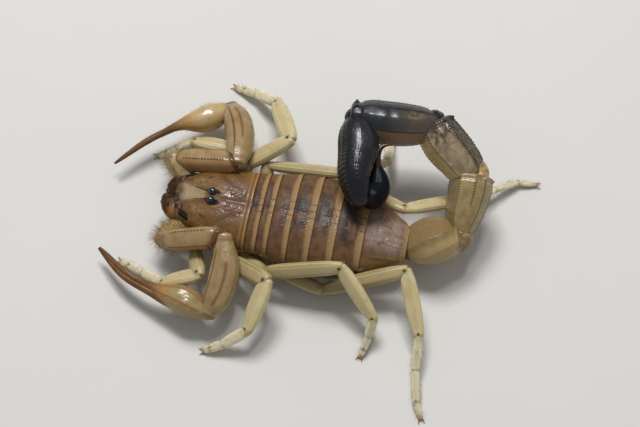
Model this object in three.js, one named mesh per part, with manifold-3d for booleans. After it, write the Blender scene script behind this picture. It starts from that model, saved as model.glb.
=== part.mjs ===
// A desert scorpion of the thick-tailed kind, life size, at rest with its tail curled sideways
// over its back. Millimetres, +Z up. The head points to -Y and the animal's left is +X. The
// origin is on the floor, on the midline, under the fourth back plate, where the belly rests.
//
// The trunk is one loft, parted by thin cuts into shield, back plates, belly and hip plates.
// Every limb and tail ring is a swelling rod from joint to joint. At a joint the two rods are
// cut on the plane that halves the bend, so that they meet face to face with a small gap.

import * as THREE from 'three';
import { mergeVertices } from 'three/addons/utils/BufferGeometryUtils.js';
import Module from 'manifold-3d';

const wasm = await Module();
wasm.setup();

const point = (x, y, z) => new THREE.Vector3(x, y, z);
const UP = point(0, 0, 1);
const SIDES = { left: 1, right: -1 };

// ---------------------------------------------------------------- driving dimensions

const GAP = 0.3;            // clearance between neighbouring pieces
const EYE_GAP = 0.1;        // clearance round the small median eyes
const MERGE = 1e-5;         // vertices closer than this are one

// Stations of the trunk along Y: half width, sideways drift of the midline, and the heights of
// the widest line, the back and the underside. The underside dips below the floor where the
// belly rests, and is cut off level with it.
const TRUNK_STATIONS = [
  { y: -17.35, half: 2.7, drift: -0.35, margin: 4.2, top: 5.7, under: 2.8 },
  { y: -15.0, half: 3.65, drift: -0.32, margin: 4.3, top: 6.3, under: 1.9 },
  { y: -13.0, half: 4.6, drift: -0.22, margin: 4.3, top: 6.6, under: 1.5 },
  { y: -10.5, half: 5.0, drift: -0.1, margin: 4.4, top: 6.8, under: 1.3 },
  { y: -7.9, half: 5.2, drift: 0, margin: 4.5, top: 7.1, under: 1.3 },
  { y: -5.0, half: 5.5, drift: 0, margin: 4.6, top: 7.8, under: 1.45 },
  { y: -2.6, half: 5.9, drift: 0, margin: 4.6, top: 8.1, under: 1.35 },
  { y: -0.5, half: 6.05, drift: 0, margin: 4.6, top: 8.2, under: -0.15 },
  { y: 2.8, half: 5.9, drift: 0, margin: 4.6, top: 8.0, under: -0.35 },
  { y: 6.05, half: 5.05, drift: 0.05, margin: 4.5, top: 7.1, under: -0.1 },
  { y: 8.6, half: 3.9, drift: 0.2, margin: 4.4, top: 6.6, under: 0.8 },
  { y: 11.26, half: 2.35, drift: 0.46, margin: 4.2, top: 6.1, under: 2.1 },
  { y: 12.4, half: 1.5, drift: 0.46, margin: 4.2, top: 5.4, under: 3.0 },
];
const TRUNK_SIDES = 20;
const TRUNK_STEPS = 24;
const DOME_FULLNESS = 0.88;   // below 1 the back is fuller than an ellipse
const BELLY_FULLNESS = 0.72;

// Where one plate of the back ends and the next begins, from the shield to the last plate.
const PLATE_EDGES = [-7.9, -6.5, -5.1, -2.66, 0.0, 2.82, 6.05];
const BELLY_FRONT = -5.0;
const PLATE_MARGIN = 4.6;     // height of the cut between back plates and belly
const SHIELD_MARGIN_FRONT = point(0, -17.35, 4.1);
const SHIELD_MARGIN_REAR = point(0, -7.9, 4.4);

const EYE = { x: 0.55, y: -12.75, z: 7.05, radius: 0.42 };
const EYE_MOUND = { z: 6.6, halfX: 1.15, halfY: 1.2, halfZ: 0.42 };

const CHELICERA = { x: 1.0, half: 0.92, height: 1.0, back: -16.9, front: -18.8, z: 4.5 };
const CHELICERA_TOOTH = { x: 0.6, y: -19.5, z: 3.6, half: 0.28 };

// Hips: where a coxa ends and the leg's first free piece begins, for legs I to IV.
const HIPS = [[4.3, -13.4, 3.2], [4.7, -10.9, 3.1], [5.3, -7.3, 2.9], [5.9, -3.6, 2.6]];
const COXA_ROOTS = [[1.2, -14.2, 2.6], [1.2, -12.0, 2.5], [1.2, -9.6, 2.4], [1.2, -8.0, 2.3]];
const COXA = { halfWidth: 1.15, halfHeight: 1.0, sides: 6, steps: 4 };
const PALP_COXA = { root: [1.4, -14.4, 3.0], halfWidth: 1.25, halfHeight: 1.15 };

const PECTEN = { inner: [0.8, -4.1, 0.85], outer: [5.0, -1.9, 0.75], halfWidth: 0.8, halfHeight: 0.27 };

// Joints of each leg in the pose: end of the trochanter, knee, end of the patella, end of the
// tibia, end of the basitarsus and the sole.
const LEG_JOINTS = {
  left: [
    [[5.8, -13.7, 3.5], [9.2, -12.25, 4.7], [10.05, -16.8, 2.0], [8.9, -19.6, 1.1],
      [8.1, -21.6, 0.6], [7.7, -22.8, 0.22]],
    [[6.4, -9.1, 3.75], [8.95, -4.0, 6.3], [14.5, -5.3, 3.4], [16.0, -7.9, 1.4],
      [16.6, -9.4, 0.7], [17.0, -10.4, 0.22]],
    [[7.1, -4.9, 4.1], [5.85, 4.25, 7.0], [10.1, 9.05, 3.5], [11.7, 8.8, 1.7],
      [13.1, 8.5, 0.7], [14.0, 8.3, 0.22]],
    [[7.6, 0.9, 2.9], [4.2, 11.8, 5.7], [11.0, 14.7, 3.2], [14.7, 15.0, 1.6],
      [18.3, 15.8, 0.65], [20.1, 16.6, 0.22]],
  ],
  right: [
    [[-5.8, -13.5, 3.1], [-8.8, -12.35, 2.7], [-9.1, -17.4, 2.4], [-8.3, -19.4, 1.2],
      [-7.6, -20.8, 0.6], [-7.2, -21.8, 0.22]],
    [[-6.6, -9.9, 3.9], [-9.8, -5.1, 6.2], [-15.9, -8.2, 3.5], [-17.6, -11.1, 1.5],
      [-18.3, -13.0, 0.7], [-18.7, -14.3, 0.22]],
    [[-6.9, -7.4, 3.9], [-6.5, 2.4, 6.4], [-10.5, 6.9, 3.4], [-14.0, 6.8, 1.5],
      [-16.4, 6.5, 0.65], [-17.6, 6.3, 0.22]],
    [[-7.3, 0.4, 3.0], [-3.8, 10.25, 5.3], [-7.9, 17.7, 2.9], [-10.3, 20.6, 1.6],
      [-12.3, 23.3, 0.65], [-12.6, 25.6, 0.22]],
  ],
};

// Half widths and half heights of the leg pieces: flat from side to side, for legs I to IV.
const LEG_SIZES = {
  femur: { halfWidth: 0.84, halfHeight: 0.86 },
  patella: { halfWidth: 0.88, halfHeight: 0.86 },
  tibia: { halfWidth: 0.6, halfHeight: 0.6 },
  tarsus: { halfWidth: 0.38, halfHeight: 0.38 },
};
const LEG_WIDTHS = [0.9, 1.15, 0.96, 0.92];
const LEG_HEIGHTS = [0.86, 0.95, 1.0, 1.02];

// Joints of the pedipalps: root on the trunk, end of the trochanter, elbow, wrist, where the
// fingers part, middle of the fingers and their tip.
const PALP_JOINTS = {
  left: [[3.2, -16.7, 3.9], [5.65, -18.3, 4.3], [5.0, -10.25, 7.0], [13.6, -10.25, 3.7],
    [11.95, -16.85, 3.7], [10.3, -21.3, 3.2], [7.4, -25.25, 2.5]],
  right: [[-3.6, -17.0, 3.9], [-5.1, -19.3, 4.3], [-5.5, -10.75, 6.6], [-14.1, -13.7, 3.5],
    [-9.95, -19.8, 3.5], [-7.15, -23.2, 3.0], [-4.1, -26.3, 2.5]],
};
const PALP_SIZES = {
  trochanter: { halfWidth: 1.15, halfHeight: 1.15 },
  femur: { halfWidth: 1.35, halfHeight: 1.25, bow: 0.15 },
  patella: { halfWidth: 1.75, halfHeight: 1.5, bow: 0.75 },
  hand: { halfWidth: 1.62, halfHeight: 1.55, bow: 0.4 },
  finger: { halfWidth: 0.46, halfHeight: 0.5, tip: 0.5 },
};

// How far each finger lies beside and above the middle line of the pair, left and right.
const FINGER_SPREAD = { left: { aside: 0.42, above: 0.35 }, right: { aside: 0.12, above: 0.56 } };

// Joints of the tail. Then for each ring its fullest half width and half height, the point that
// its dorsal side looks at, how far it bows away from that side, and how narrow it ends.
const TAIL_JOINTS = [[0.46, 11.26, 4.2], [-1.5, 17.1, 5.1], [-8.6, 17.4, 7.5],
  [-13.3, 11.9, 9.8], [-11.9, 2.45, 11.0], [-1.15, 6.2, 10.4]];
const TAIL_RINGS = [
  { halfWidth: 2.75, halfHeight: 2.6, faces: [-3, 10, 14], bow: 0.1, end: 0.84 },
  { halfWidth: 2.6, halfHeight: 2.45, faces: [-6, 10, 11], bow: 0.15, end: 0.9 },
  { halfWidth: 2.6, halfHeight: 2.7, faces: [-6, 9, 12], bow: -0.2, end: 0.88 },
  { halfWidth: 2.45, halfHeight: 2.4, faces: [-5, 8, 14], bow: 0.15, end: 0.86 },
  { halfWidth: 2.2, halfHeight: 2.0, faces: [-6, 9, 9], bow: 0.6, end: 0.7 },
];
const TAIL_ROOT_RATIO = 0.72;   // how narrow a ring is where it begins
const VESICLE = { joints: [[-1.7, 7.35, 9.7], [-4.2, 6.85, 9.0], [-6.6, 6.2, 9.9]], half: 1.4, neck: 0.42 };
const STING = {
  joints: [[-6.3, 6.25, 9.8], [-7.7, 5.95, 10.5], [-8.8, 6.3, 10.8], [-9.3, 7.5, 11.0]],
  root: 0.55,
  tip: 0.26,
};

// ---------------------------------------------------------------- materials

const paint = (color, roughness) => new THREE.MeshStandardMaterial({ color, roughness, metalness: 0 });
const MATERIALS = {
  back: paint(0x755b48, 0.42),
  shield: paint(0x8f7048, 0.42),
  belly: paint(0xa59a6c, 0.5),
  palp: paint(0xac8450, 0.35),
  finger: paint(0x80501f, 0.35),
  leg: paint(0xc0b581, 0.45),
  tailPale: paint(0xa68d5c, 0.4),
  tailBrown: paint(0x665545, 0.4),
  tailDark: paint(0x1c222c, 0.28),
  chelicera: paint(0x6e421b, 0.25),
  eye: paint(0x07070a, 0.08),
};

// ---------------------------------------------------------------- solids

/** Merges a closed geometry's shared vertices, so that only its shape is left. */
function bare(geometry) {
  geometry.deleteAttribute('normal');
  geometry.deleteAttribute('uv');
  return mergeVertices(geometry, MERGE);
}

/** Turns a bare closed geometry into a solid that can be joined and cut. */
function toSolid(geometry) {
  const vertProperties = new Float32Array(geometry.attributes.position.array);
  const triVerts = new Uint32Array(geometry.index.array);
  return new wasm.Manifold(new wasm.Mesh({ numProp: 3, vertProperties, triVerts }));
}

/** Turns a solid into a mesh whose own origin is at `origin`. */
function toMesh(name, solid, origin, material) {
  const result = solid.getMesh();
  const geometry = new THREE.BufferGeometry();
  geometry.setAttribute('position', new THREE.BufferAttribute(result.vertProperties, 3));
  geometry.setIndex(new THREE.BufferAttribute(result.triVerts, 1));
  geometry.translate(-origin.x, -origin.y, -origin.z);
  geometry.computeVertexNormals();
  const mesh = new THREE.Mesh(geometry, material);
  mesh.name = name;
  mesh.position.copy(origin);
  return mesh;
}

/** Keeps the side of a plane that `normal` points to, half a gap away from the plane. */
function keep(solid, on, normal, gap = GAP) {
  const unit = normal.clone().normalize();
  return solid.trimByPlane(unit.toArray(), unit.dot(on) + gap / 2);
}

/** Cuts off what lies below the floor, which leaves a small flat to rest on. */
function restOnFloor(solid) {
  return keep(solid, point(0, 0, 0), UP, 0);
}

/** Signed power: bends a circle's sine or cosine towards a fuller outline. */
const full = (value, power) => Math.sign(value) * Math.abs(value) ** power;

/** Moves every vertex of a bare geometry to where `place` puts it. */
function warp(geometry, place) {
  const position = geometry.attributes.position;
  const vertex = new THREE.Vector3();
  for (let index = 0; index < position.count; index += 1) {
    vertex.fromBufferAttribute(position, index);
    position.setXYZ(index, ...place(vertex).toArray());
  }
  return toSolid(geometry);
}

/**
 * A rod with domed ends along a smooth path through its joints. It is a ball, stretched so that
 * its poles lie a little past the first and last joint. `profile` gives the size at t, which is
 * 0 at the first joint and 1 at the last. `up` is the direction of the height.
 */
function rod({ joints, up = UP, halfWidth, halfHeight, profile = () => 1, sides = 8, steps = 7,
  past = 0.8, fullness = 0.9, grow = 0 }) {
  const path = new THREE.CatmullRomCurve3(joints, false, 'centripetal');
  const length = path.getLength();
  const extra = past * Math.max(halfWidth, halfHeight) + grow;
  const ball = bare(new THREE.SphereGeometry(1, sides, steps));
  return warp(ball, (vertex) => {
    const radial = Math.hypot(vertex.x, vertex.z);
    const along = (1 - vertex.y) / 2 * (length + 2 * extra) - extra;
    const t = THREE.MathUtils.clamp(along / length, 0, 1);
    const centre = path.getPointAt(t);
    const tangent = path.getTangentAt(t);
    const across = new THREE.Vector3().crossVectors(up, tangent).normalize();
    const raised = new THREE.Vector3().crossVectors(tangent, across);
    const dome = radial === 0 ? 0 : (1 - Math.abs(vertex.y) ** 4) ** 0.25 / radial;
    const size = profile(t);
    const width = full(vertex.x * dome, fullness) * (halfWidth * size + grow);
    const height = full(vertex.z * dome, fullness) * (halfHeight * size + grow);
    return centre.addScaledVector(tangent, along - t * length)
      .addScaledVector(across, width).addScaledVector(raised, height);
  });
}

/** The normal of the plane that halves the bend at a joint, pointing onward. */
function hinge(before, at, after) {
  const arriving = at.clone().sub(before).normalize();
  return arriving.add(after.clone().sub(at).normalize());
}

/** Reads a row of a pose table as points. */
const toPoints = (rows) => rows.map((row) => point(...row));

/** Mirrors a point to the given side of the body. */
const onSide = (row, sign) => point(row[0] * sign, row[1], row[2]);

/** A joint-to-joint path with its middle pushed sideways. */
function bowed(from, to, push) {
  const middle = from.clone().lerp(to, 0.5).add(push);
  return [from, middle, to];
}

// ---------------------------------------------------------------- trunk

const stationKeys = ['half', 'drift', 'margin', 'top', 'under'];
const trunkShape = new THREE.CubicInterpolant(
  TRUNK_STATIONS.map((station) => station.y),
  TRUNK_STATIONS.flatMap((station) => stationKeys.map((key) => station[key])),
  stationKeys.length,
);

/**
 * The whole trunk as one loft. A section is a flattened ring: above its widest line it rises to
 * the back, below it drops to the underside. `grow` makes the same trunk larger all round.
 */
function trunk(grow = 0) {
  const front = TRUNK_STATIONS[0].y;
  const rear = TRUNK_STATIONS[TRUNK_STATIONS.length - 1].y;
  const drum = bare(new THREE.CylinderGeometry(1, 1, 1, TRUNK_SIDES, TRUNK_STEPS));
  return warp(drum, (vertex) => {
    const y = THREE.MathUtils.lerp(front, rear, vertex.y + 0.5);
    const [half, drift, margin, top, under] = trunkShape.evaluate(y);
    const power = vertex.z > 0 ? DOME_FULLNESS : BELLY_FULLNESS;
    const reach = vertex.z > 0 ? top - margin : margin - under;
    return point(
      drift + full(vertex.x, power) * (half + grow),
      y + Math.sign(vertex.y) * (Math.abs(vertex.y) === 0.5 ? grow : 0),
      margin + full(vertex.z, power) * (reach + grow),
    );
  });
}

/** How far the midline of the trunk lies to one side at a place along the body. */
const driftAt = (y) => trunkShape.evaluate(y)[stationKeys.indexOf('drift')];

const wholeTrunk = trunk();
const trunkWithRoom = trunk(GAP);
const alongBody = point(0, 1, 0);
const shieldMargin = SHIELD_MARGIN_REAR.clone().sub(SHIELD_MARGIN_FRONT).cross(point(-1, 0, 0));
const tailJoints = toPoints(TAIL_JOINTS);
const tailRootNormal = hinge(point(0, PLATE_EDGES[6], PLATE_MARGIN), tailJoints[0], tailJoints[1]);

/** The part of a solid between two places along the body. */
function between(solid, from, to) {
  let piece = solid;
  if (from !== undefined) piece = keep(piece, point(0, from, 0), alongBody);
  if (to !== undefined) piece = keep(piece, point(0, to, 0), alongBody.clone().negate());
  return piece;
}

const above = (solid) => keep(solid, point(0, 0, PLATE_MARGIN), UP);
const below = (solid) => keep(solid, point(0, 0, PLATE_MARGIN), UP.clone().negate());

/** The shield over head and legs, with the mound of the median eyes and their two sockets. */
function carapace() {
  const { z, halfX, halfY, halfZ } = EYE_MOUND;
  const ball = bare(new THREE.SphereGeometry(1, 10, 6));
  const middle = driftAt(EYE.y);
  const mound = warp(ball, (vertex) => {
    return point(middle + vertex.x * halfX, EYE.y + vertex.y * halfY, z + vertex.z * halfZ);
  });
  let shield = between(wholeTrunk, undefined, PLATE_EDGES[0]).add(mound);
  shield = keep(shield, SHIELD_MARGIN_FRONT, shieldMargin);
  for (const sign of Object.values(SIDES)) shield = shield.subtract(eye(sign, EYE_GAP));
  return shield;
}

/** A median eye, a ball sunk by half in the mound. */
function eye(sign, grow = 0) {
  const ball = bare(new THREE.SphereGeometry(EYE.radius + grow, 8, 6));
  const middle = eyeCentre(sign);
  return warp(ball, (vertex) => vertex.clone().add(middle));
}

/** The middle of a median eye, on the side that `sign` tells. */
function eyeCentre(sign) {
  return point(driftAt(EYE.y) + EYE.x * sign, EYE.y, EYE.z);
}

/** Back plate `number`, 1 to 7. The last one narrows to the root of the tail. */
function tergite(number) {
  const piece = between(wholeTrunk, PLATE_EDGES[number - 1], PLATE_EDGES[number]);
  const cut = number === 7 ? keep(piece, tailJoints[0], tailRootNormal.clone().negate()) : piece;
  return above(cut);
}

/** The coxa of a leg, from the breastbone out to its hip. */
function legCoxa(leg, sign, grow = 0) {
  const joints = [onSide(COXA_ROOTS[leg], sign), onSide(HIPS[leg], sign)];
  return rod({ joints, ...COXA, grow });
}

/** The coxa of a pedipalp, beside the chelicerae. */
function palpCoxa(side) {
  const joints = [onSide(PALP_COXA.root, SIDES[side]), point(...PALP_JOINTS[side][0])];
  return rod({ joints, halfWidth: PALP_COXA.halfWidth, halfHeight: PALP_COXA.halfHeight, steps: 6 });
}

/** The underside of the head and legs: breastbone and all the coxae in one piece. */
function coxae() {
  let piece = below(between(wholeTrunk, undefined, BELLY_FRONT));
  piece = keep(piece, SHIELD_MARGIN_FRONT, shieldMargin.clone().negate());
  for (const [side, sign] of Object.entries(SIDES)) {
    const palp = toPoints(PALP_JOINTS[side]);
    const root = onSide(PALP_COXA.root, sign);
    piece = piece.add(keep(palpCoxa(side), palp[0], hinge(root, palp[0], palp[1]).negate()));
    for (let leg = 0; leg < HIPS.length; leg += 1) {
      const hip = onSide(HIPS[leg], sign);
      const next = point(...LEG_JOINTS[side][leg][0]);
      const normal = hinge(onSide(COXA_ROOTS[leg], sign), hip, next).negate();
      piece = piece.add(keep(legCoxa(leg, sign), hip, normal));
    }
  }
  piece = keep(piece, SHIELD_MARGIN_FRONT, shieldMargin.clone().negate());
  return piece;
}

/** The soft belly under the back plates, flat where it rests, with room for the last coxae. */
function belly() {
  let piece = below(between(wholeTrunk, BELLY_FRONT));
  piece = keep(piece, tailJoints[0], tailRootNormal.clone().negate());
  for (const sign of Object.values(SIDES)) {
    piece = piece.subtract(legCoxa(3, sign, GAP));
  }
  return restOnFloor(piece);
}

/** The comb behind the last coxa, a thin tongue held just off the floor. */
function pecten(sign) {
  const joints = [onSide(PECTEN.inner, sign), onSide(PECTEN.outer, sign)];
  return rod({ joints, halfWidth: PECTEN.halfWidth, halfHeight: PECTEN.halfHeight, steps: 6, past: 0.3 });
}

/** A chelicera: a short swollen hand under the shield's front edge, with its biting finger. */
function chelicera(sign) {
  const { half, height, back, front, z } = CHELICERA;
  const tooth = CHELICERA_TOOTH;
  const middle = driftAt(back);
  const x = middle + CHELICERA.x * sign;
  const hand = rod({
    joints: [point(x, back, z), point(x, front, z - 0.15)],
    halfWidth: half,
    halfHeight: height,
    past: 0.4,
    sides: 10,
  });
  const finger = rod({
    joints: [point(x, front + 0.3, z - 0.2), point(middle + tooth.x * sign, tooth.y, tooth.z)],
    halfWidth: tooth.half,
    halfHeight: tooth.half,
    steps: 5,
  });
  const whole = hand.add(finger).subtract(trunkWithRoom);
  return keep(whole, point(middle, 0, 0), point(sign, 0, 0), GAP);
}

// ---------------------------------------------------------------- limbs

/** Swelling of a limb piece: narrow at both joints and fullest in the middle. */
const swelling = (ends) => (t) => ends + (1 - ends) * Math.sin(Math.PI * t) ** 0.8;

/**
 * Cuts a rod at its two ends, where the limb's path bends, and keeps it clear of the trunk.
 * `path` holds the joint before the piece, its own two joints and the joint after it. A missing
 * neighbour leaves that end whole.
 */
function betweenJoints(solid, [before, from, to, after]) {
  let piece = solid;
  if (before) piece = keep(piece, from, hinge(before, from, to));
  if (after) piece = keep(piece, to, hinge(from, to, after).negate());
  return piece;
}

/** The three free pieces of a leg: femur with its trochanter, patella, and foot to the sole. */
function legPieces(side, leg) {
  const sign = SIDES[side];
  const hip = onSide(HIPS[leg], sign);
  const root = onSide(COXA_ROOTS[leg], sign);
  const [trochanter, knee, ankle, tibiaEnd, tarsusEnd, sole] = toPoints(LEG_JOINTS[side][leg]);
  const sized = ({ halfWidth, halfHeight }) => ({
    halfWidth: halfWidth * LEG_WIDTHS[leg],
    halfHeight: halfHeight * LEG_HEIGHTS[leg],
  });

  let femur = rod({
    joints: [hip, trochanter, knee],
    ...sized(LEG_SIZES.femur),
    profile: swelling(0.8),
    steps: 8,
  });
  femur = betweenJoints(femur, [root, hip, trochanter, undefined]);
  femur = betweenJoints(femur, [undefined, trochanter, knee, ankle]).subtract(trunkWithRoom);

  let patella = rod({ joints: [knee, ankle], ...sized(LEG_SIZES.patella), profile: swelling(0.72) });
  patella = betweenJoints(patella, [trochanter, knee, ankle, tibiaEnd]).subtract(trunkWithRoom);

  const slim = LEG_SIZES.tarsus.halfHeight / LEG_SIZES.tibia.halfHeight;
  const foot = rod({
    joints: [ankle, tibiaEnd, tarsusEnd, sole],
    ...sized(LEG_SIZES.tibia),
    profile: (t) => THREE.MathUtils.lerp(1, slim, Math.min(1, t * 1.4)),
    sides: 7,
    steps: 8,
    past: 0.5,
  });
  const standing = restOnFloor(betweenJoints(foot, [knee, ankle, tibiaEnd, undefined]));
  return { pieces: { femur, patella, foot: standing }, joints: { femur: hip, patella: knee, foot: ankle } };
}

/** The five pieces of a pedipalp. The two fingers lie side by side and curve inwards. */
function palpPieces(side) {
  const sign = SIDES[side];
  const [root, trochanterEnd, elbow, wrist, parting, fingerMiddle, tip] = toPoints(PALP_JOINTS[side]);
  const coxaRoot = onSide(PALP_COXA.root, sign);
  const size = PALP_SIZES;
  const aside = (from, to, amount) => {
    const across = new THREE.Vector3().crossVectors(to.clone().sub(from), UP).normalize();
    return across.multiplyScalar(amount * sign);
  };
  const swollen = (from, to, part, ends, rest = {}) => rod({
    joints: bowed(from, to, aside(from, to, -part.bow)),
    halfWidth: part.halfWidth,
    halfHeight: part.halfHeight,
    profile: swelling(ends),
    sides: 10,
    steps: 8,
    ...rest,
  });

  let trochanter = rod({ joints: [root, trochanterEnd], ...size.trochanter });
  trochanter = betweenJoints(trochanter, [coxaRoot, root, trochanterEnd, elbow]).subtract(trunkWithRoom);

  let femur = swollen(trochanterEnd, elbow, size.femur, 0.75);
  femur = betweenJoints(femur, [root, trochanterEnd, elbow, wrist]).subtract(trunkWithRoom);

  let patella = swollen(elbow, wrist, size.patella, 0.62);
  patella = betweenJoints(patella, [trochanterEnd, elbow, wrist, parting]).subtract(trunkWithRoom);

  const spread = FINGER_SPREAD[side];
  const finger = (which, grow = 0) => rod({
    joints: [wrist.clone().lerp(parting, 0.8), parting, fingerMiddle, tip].map((joint, index, all) => {
      const next = all[Math.min(index + 1, all.length - 1)];
      const last = all[Math.max(index - 1, 0)];
      const closing = index === all.length - 1 ? 0.7 : 1;
      const beside = aside(last, next, which * spread.aside * closing);
      return joint.clone().add(beside).addScaledVector(UP, which * spread.above * closing);
    }),
    halfWidth: size.finger.halfWidth,
    halfHeight: size.finger.halfHeight,
    profile: (t) => 1 - (1 - size.finger.tip) * t ** 1.6,
    sides: 7,
    steps: 8,
    past: 0.5,
    grow,
  });
  const moving = finger(-1);
  const room = finger(-1, GAP);
  const palm = swollen(wrist, parting.clone().lerp(fingerMiddle, 0.15), size.hand, 0.45, { past: 0.2 });
  let hand = palm.add(finger(1)).subtract(room);
  hand = betweenJoints(hand, [elbow, wrist, parting, undefined]);
  return {
    pieces: { trochanter, femur, patella, hand, finger: moving },
    joints: { trochanter: root, femur: trochanterEnd, patella: elbow, hand: wrist, finger: parting },
  };
}

// ---------------------------------------------------------------- tail

/** The direction from a ring's middle to the point that its dorsal side looks at. */
function dorsal(from, to, faces) {
  const axis = to.clone().sub(from).normalize();
  const look = point(...faces).sub(from.clone().lerp(to, 0.5));
  return look.addScaledVector(axis, -look.dot(axis)).normalize();
}

/** Tail ring `index`, 0 to 4, cut on the planes that halve the bends at its two ends. */
function tailRing(index) {
  const { halfWidth, halfHeight, faces, bow, end } = TAIL_RINGS[index];
  const [from, to] = [tailJoints[index], tailJoints[index + 1]];
  const up = dorsal(from, to, faces);
  const ring = rod({
    joints: bowed(from, to, up.clone().multiplyScalar(-bow)),
    up,
    halfWidth,
    halfHeight,
    profile: (t) => THREE.MathUtils.lerp(TAIL_ROOT_RATIO, end, t) * (1 - Math.sin(Math.PI * t) ** 0.75)
      + Math.sin(Math.PI * t) ** 0.75,
    sides: 12,
    steps: 9,
    past: 0.3,
    fullness: 0.85,
  });
  const before = index === 0 ? point(0, PLATE_EDGES[6], PLATE_MARGIN) : tailJoints[index - 1];
  const after = index < 4 ? tailJoints[index + 2] : undefined;
  return betweenJoints(ring, [before, from, to, after]);
}

/** The bulb of the sting. Grown by the gap, it is also the hollow that it leaves in its neighbours. */
function vesicle(grow = 0) {
  return rod({
    joints: toPoints(VESICLE.joints),
    halfWidth: VESICLE.half,
    halfHeight: VESICLE.half,
    profile: swelling(VESICLE.neck),
    sides: 10,
    steps: 9,
    past: 0.25,
    grow,
  });
}

/** The curved sting, from the bulb to its point. */
function sting(grow = 0) {
  return rod({
    joints: toPoints(STING.joints),
    halfWidth: STING.root,
    halfHeight: STING.root,
    profile: (t) => THREE.MathUtils.lerp(1, STING.tip / STING.root, t),
    sides: 8,
    steps: 9,
    past: 0.3,
    grow,
  });
}

// ---------------------------------------------------------------- the scorpion

const scorpion = new THREE.Group();
const body = new THREE.Group();
const tail = new THREE.Group();
const limbs = new THREE.Group();
scorpion.add(body, tail, limbs);

body.add(toMesh('carapace', carapace(), point(0, PLATE_EDGES[0], 0), MATERIALS.shield));
for (let number = 1; number <= 7; number += 1) {
  const front = point(0, PLATE_EDGES[number - 1], 0);
  body.add(toMesh(`tergite_${number}`, tergite(number), front, MATERIALS.back));
}
body.add(toMesh('coxae', coxae(), point(0, BELLY_FRONT, 0), MATERIALS.belly));
body.add(toMesh('belly', belly(), point(0, 0, 0), MATERIALS.belly));
for (const [side, sign] of Object.entries(SIDES)) {
  body.add(toMesh(`eye_${side}`, eye(sign), eyeCentre(sign), MATERIALS.eye));
  const biteRoot = point(driftAt(CHELICERA.back) + CHELICERA.x * sign, CHELICERA.back, CHELICERA.z);
  body.add(toMesh(`chelicera_${side}`, chelicera(sign), biteRoot, MATERIALS.chelicera));
  body.add(toMesh(`pecten_${side}`, pecten(sign), onSide(PECTEN.inner, sign), MATERIALS.belly));
}

const { tailPale, tailBrown, tailDark } = MATERIALS;
[tailPale, tailPale, tailBrown, tailDark, tailDark].forEach((material, index) => {
  const ring = index < 3 ? tailRing(index) : tailRing(index).subtract(vesicle(GAP)).subtract(sting(GAP));
  tail.add(toMesh(`tail_${index + 1}`, ring, tailJoints[index], material));
});
const bulb = vesicle().subtract(sting(GAP));
tail.add(toMesh('telson', bulb, point(...VESICLE.joints[0]), tailDark));
tail.add(toMesh('sting', sting(), point(...STING.joints[0]), tailDark));

/** Adds a limb's pieces, each placed by the joint where it begins. */
function addLimb(name, { pieces, joints }, material) {
  for (const [piece, solid] of Object.entries(pieces)) {
    const own = piece === 'finger' ? MATERIALS.finger : material;
    limbs.add(toMesh(`${name}_${piece}`, solid, joints[piece], own));
  }
}

for (const side of Object.keys(SIDES)) {
  addLimb(`pedipalp_${side}`, palpPieces(side), MATERIALS.palp);
  for (let leg = 0; leg < HIPS.length; leg += 1) {
    addLimb(`leg_${side}_${leg + 1}`, legPieces(side, leg), MATERIALS.leg);
  }
}

export default scorpion;
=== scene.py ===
# %% [markdown]
# # A desert scorpion, life size
#
# A thick-tailed scorpion at rest, with its claws drawn in and its tail curled sideways over its
# back. A scorpion wears its skeleton outside: hard plates and tubes of chitin, joined by soft
# skin. So the model is made in the same way, of plates that overlap and of tubes that meet at
# joints, and each of them is a surface worked out with numpy.
#
# This first cell loads the solid model that everything is built round. The solids stay where
# they are, and each detailed piece below stands for one or more of them.

from types import SimpleNamespace

import bpy
import numpy as np
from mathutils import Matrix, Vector


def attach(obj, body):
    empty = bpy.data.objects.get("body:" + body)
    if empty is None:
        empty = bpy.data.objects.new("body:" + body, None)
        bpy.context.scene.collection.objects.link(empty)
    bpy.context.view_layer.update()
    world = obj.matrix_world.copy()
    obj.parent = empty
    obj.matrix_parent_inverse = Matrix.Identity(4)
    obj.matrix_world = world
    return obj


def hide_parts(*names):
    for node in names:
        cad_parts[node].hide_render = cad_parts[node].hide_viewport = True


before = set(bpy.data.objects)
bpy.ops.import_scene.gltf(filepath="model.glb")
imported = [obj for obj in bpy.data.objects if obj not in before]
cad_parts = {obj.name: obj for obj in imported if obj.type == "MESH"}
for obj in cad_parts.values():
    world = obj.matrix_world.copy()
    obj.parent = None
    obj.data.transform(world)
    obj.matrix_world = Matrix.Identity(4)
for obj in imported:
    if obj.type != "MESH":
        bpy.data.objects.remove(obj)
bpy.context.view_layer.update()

# %% [markdown]
# ## Small helpers for curves and patterns
#
# Lengths are in millimetres until a mesh is made, because a scorpion is easier to think of that
# way. `through` draws a smooth curve through a few chosen values, which gives every outline here.
# The patterns come from a lattice whose cells each get a number from a formula, so that every
# run gives the same grains and patches.

# %% Curves and patterns
MM = 0.001
TURN = 2 * np.pi
UP = np.array([0.0, 0.0, 1.0])
SIDES = {"left": 1, "right": -1}
CELL = 0.1  # distance between neighbouring points of an ordinary surface
ON_FLOOR = 0.02  # the lowest height of plates and bristles
EDGE_CELLS = 3.0  # over so many cells a plate thickens from its edge
FINE_STEPS = 1201  # a sweep is measured in so many steps before its rings are placed


def smooth(x, low, high):
    """3t^2 - 2t^3, from 0 at low to 1 at high and level beyond. With low above high it falls."""
    t = np.clip((x - low) / (high - low), 0, 1)
    return t * t * (3 - 2 * t)


def between(x, start, risen, falling, end):
    """Rises from 0 to 1, stays there, and falls back to 0."""
    return smooth(x, start, risen) * smooth(x, end, falling)


def ridge(distance, width):
    """A bell curve: 1 on the line, and 1/e at `width` away from it."""
    return np.exp(-((distance / width) ** 2))


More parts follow.
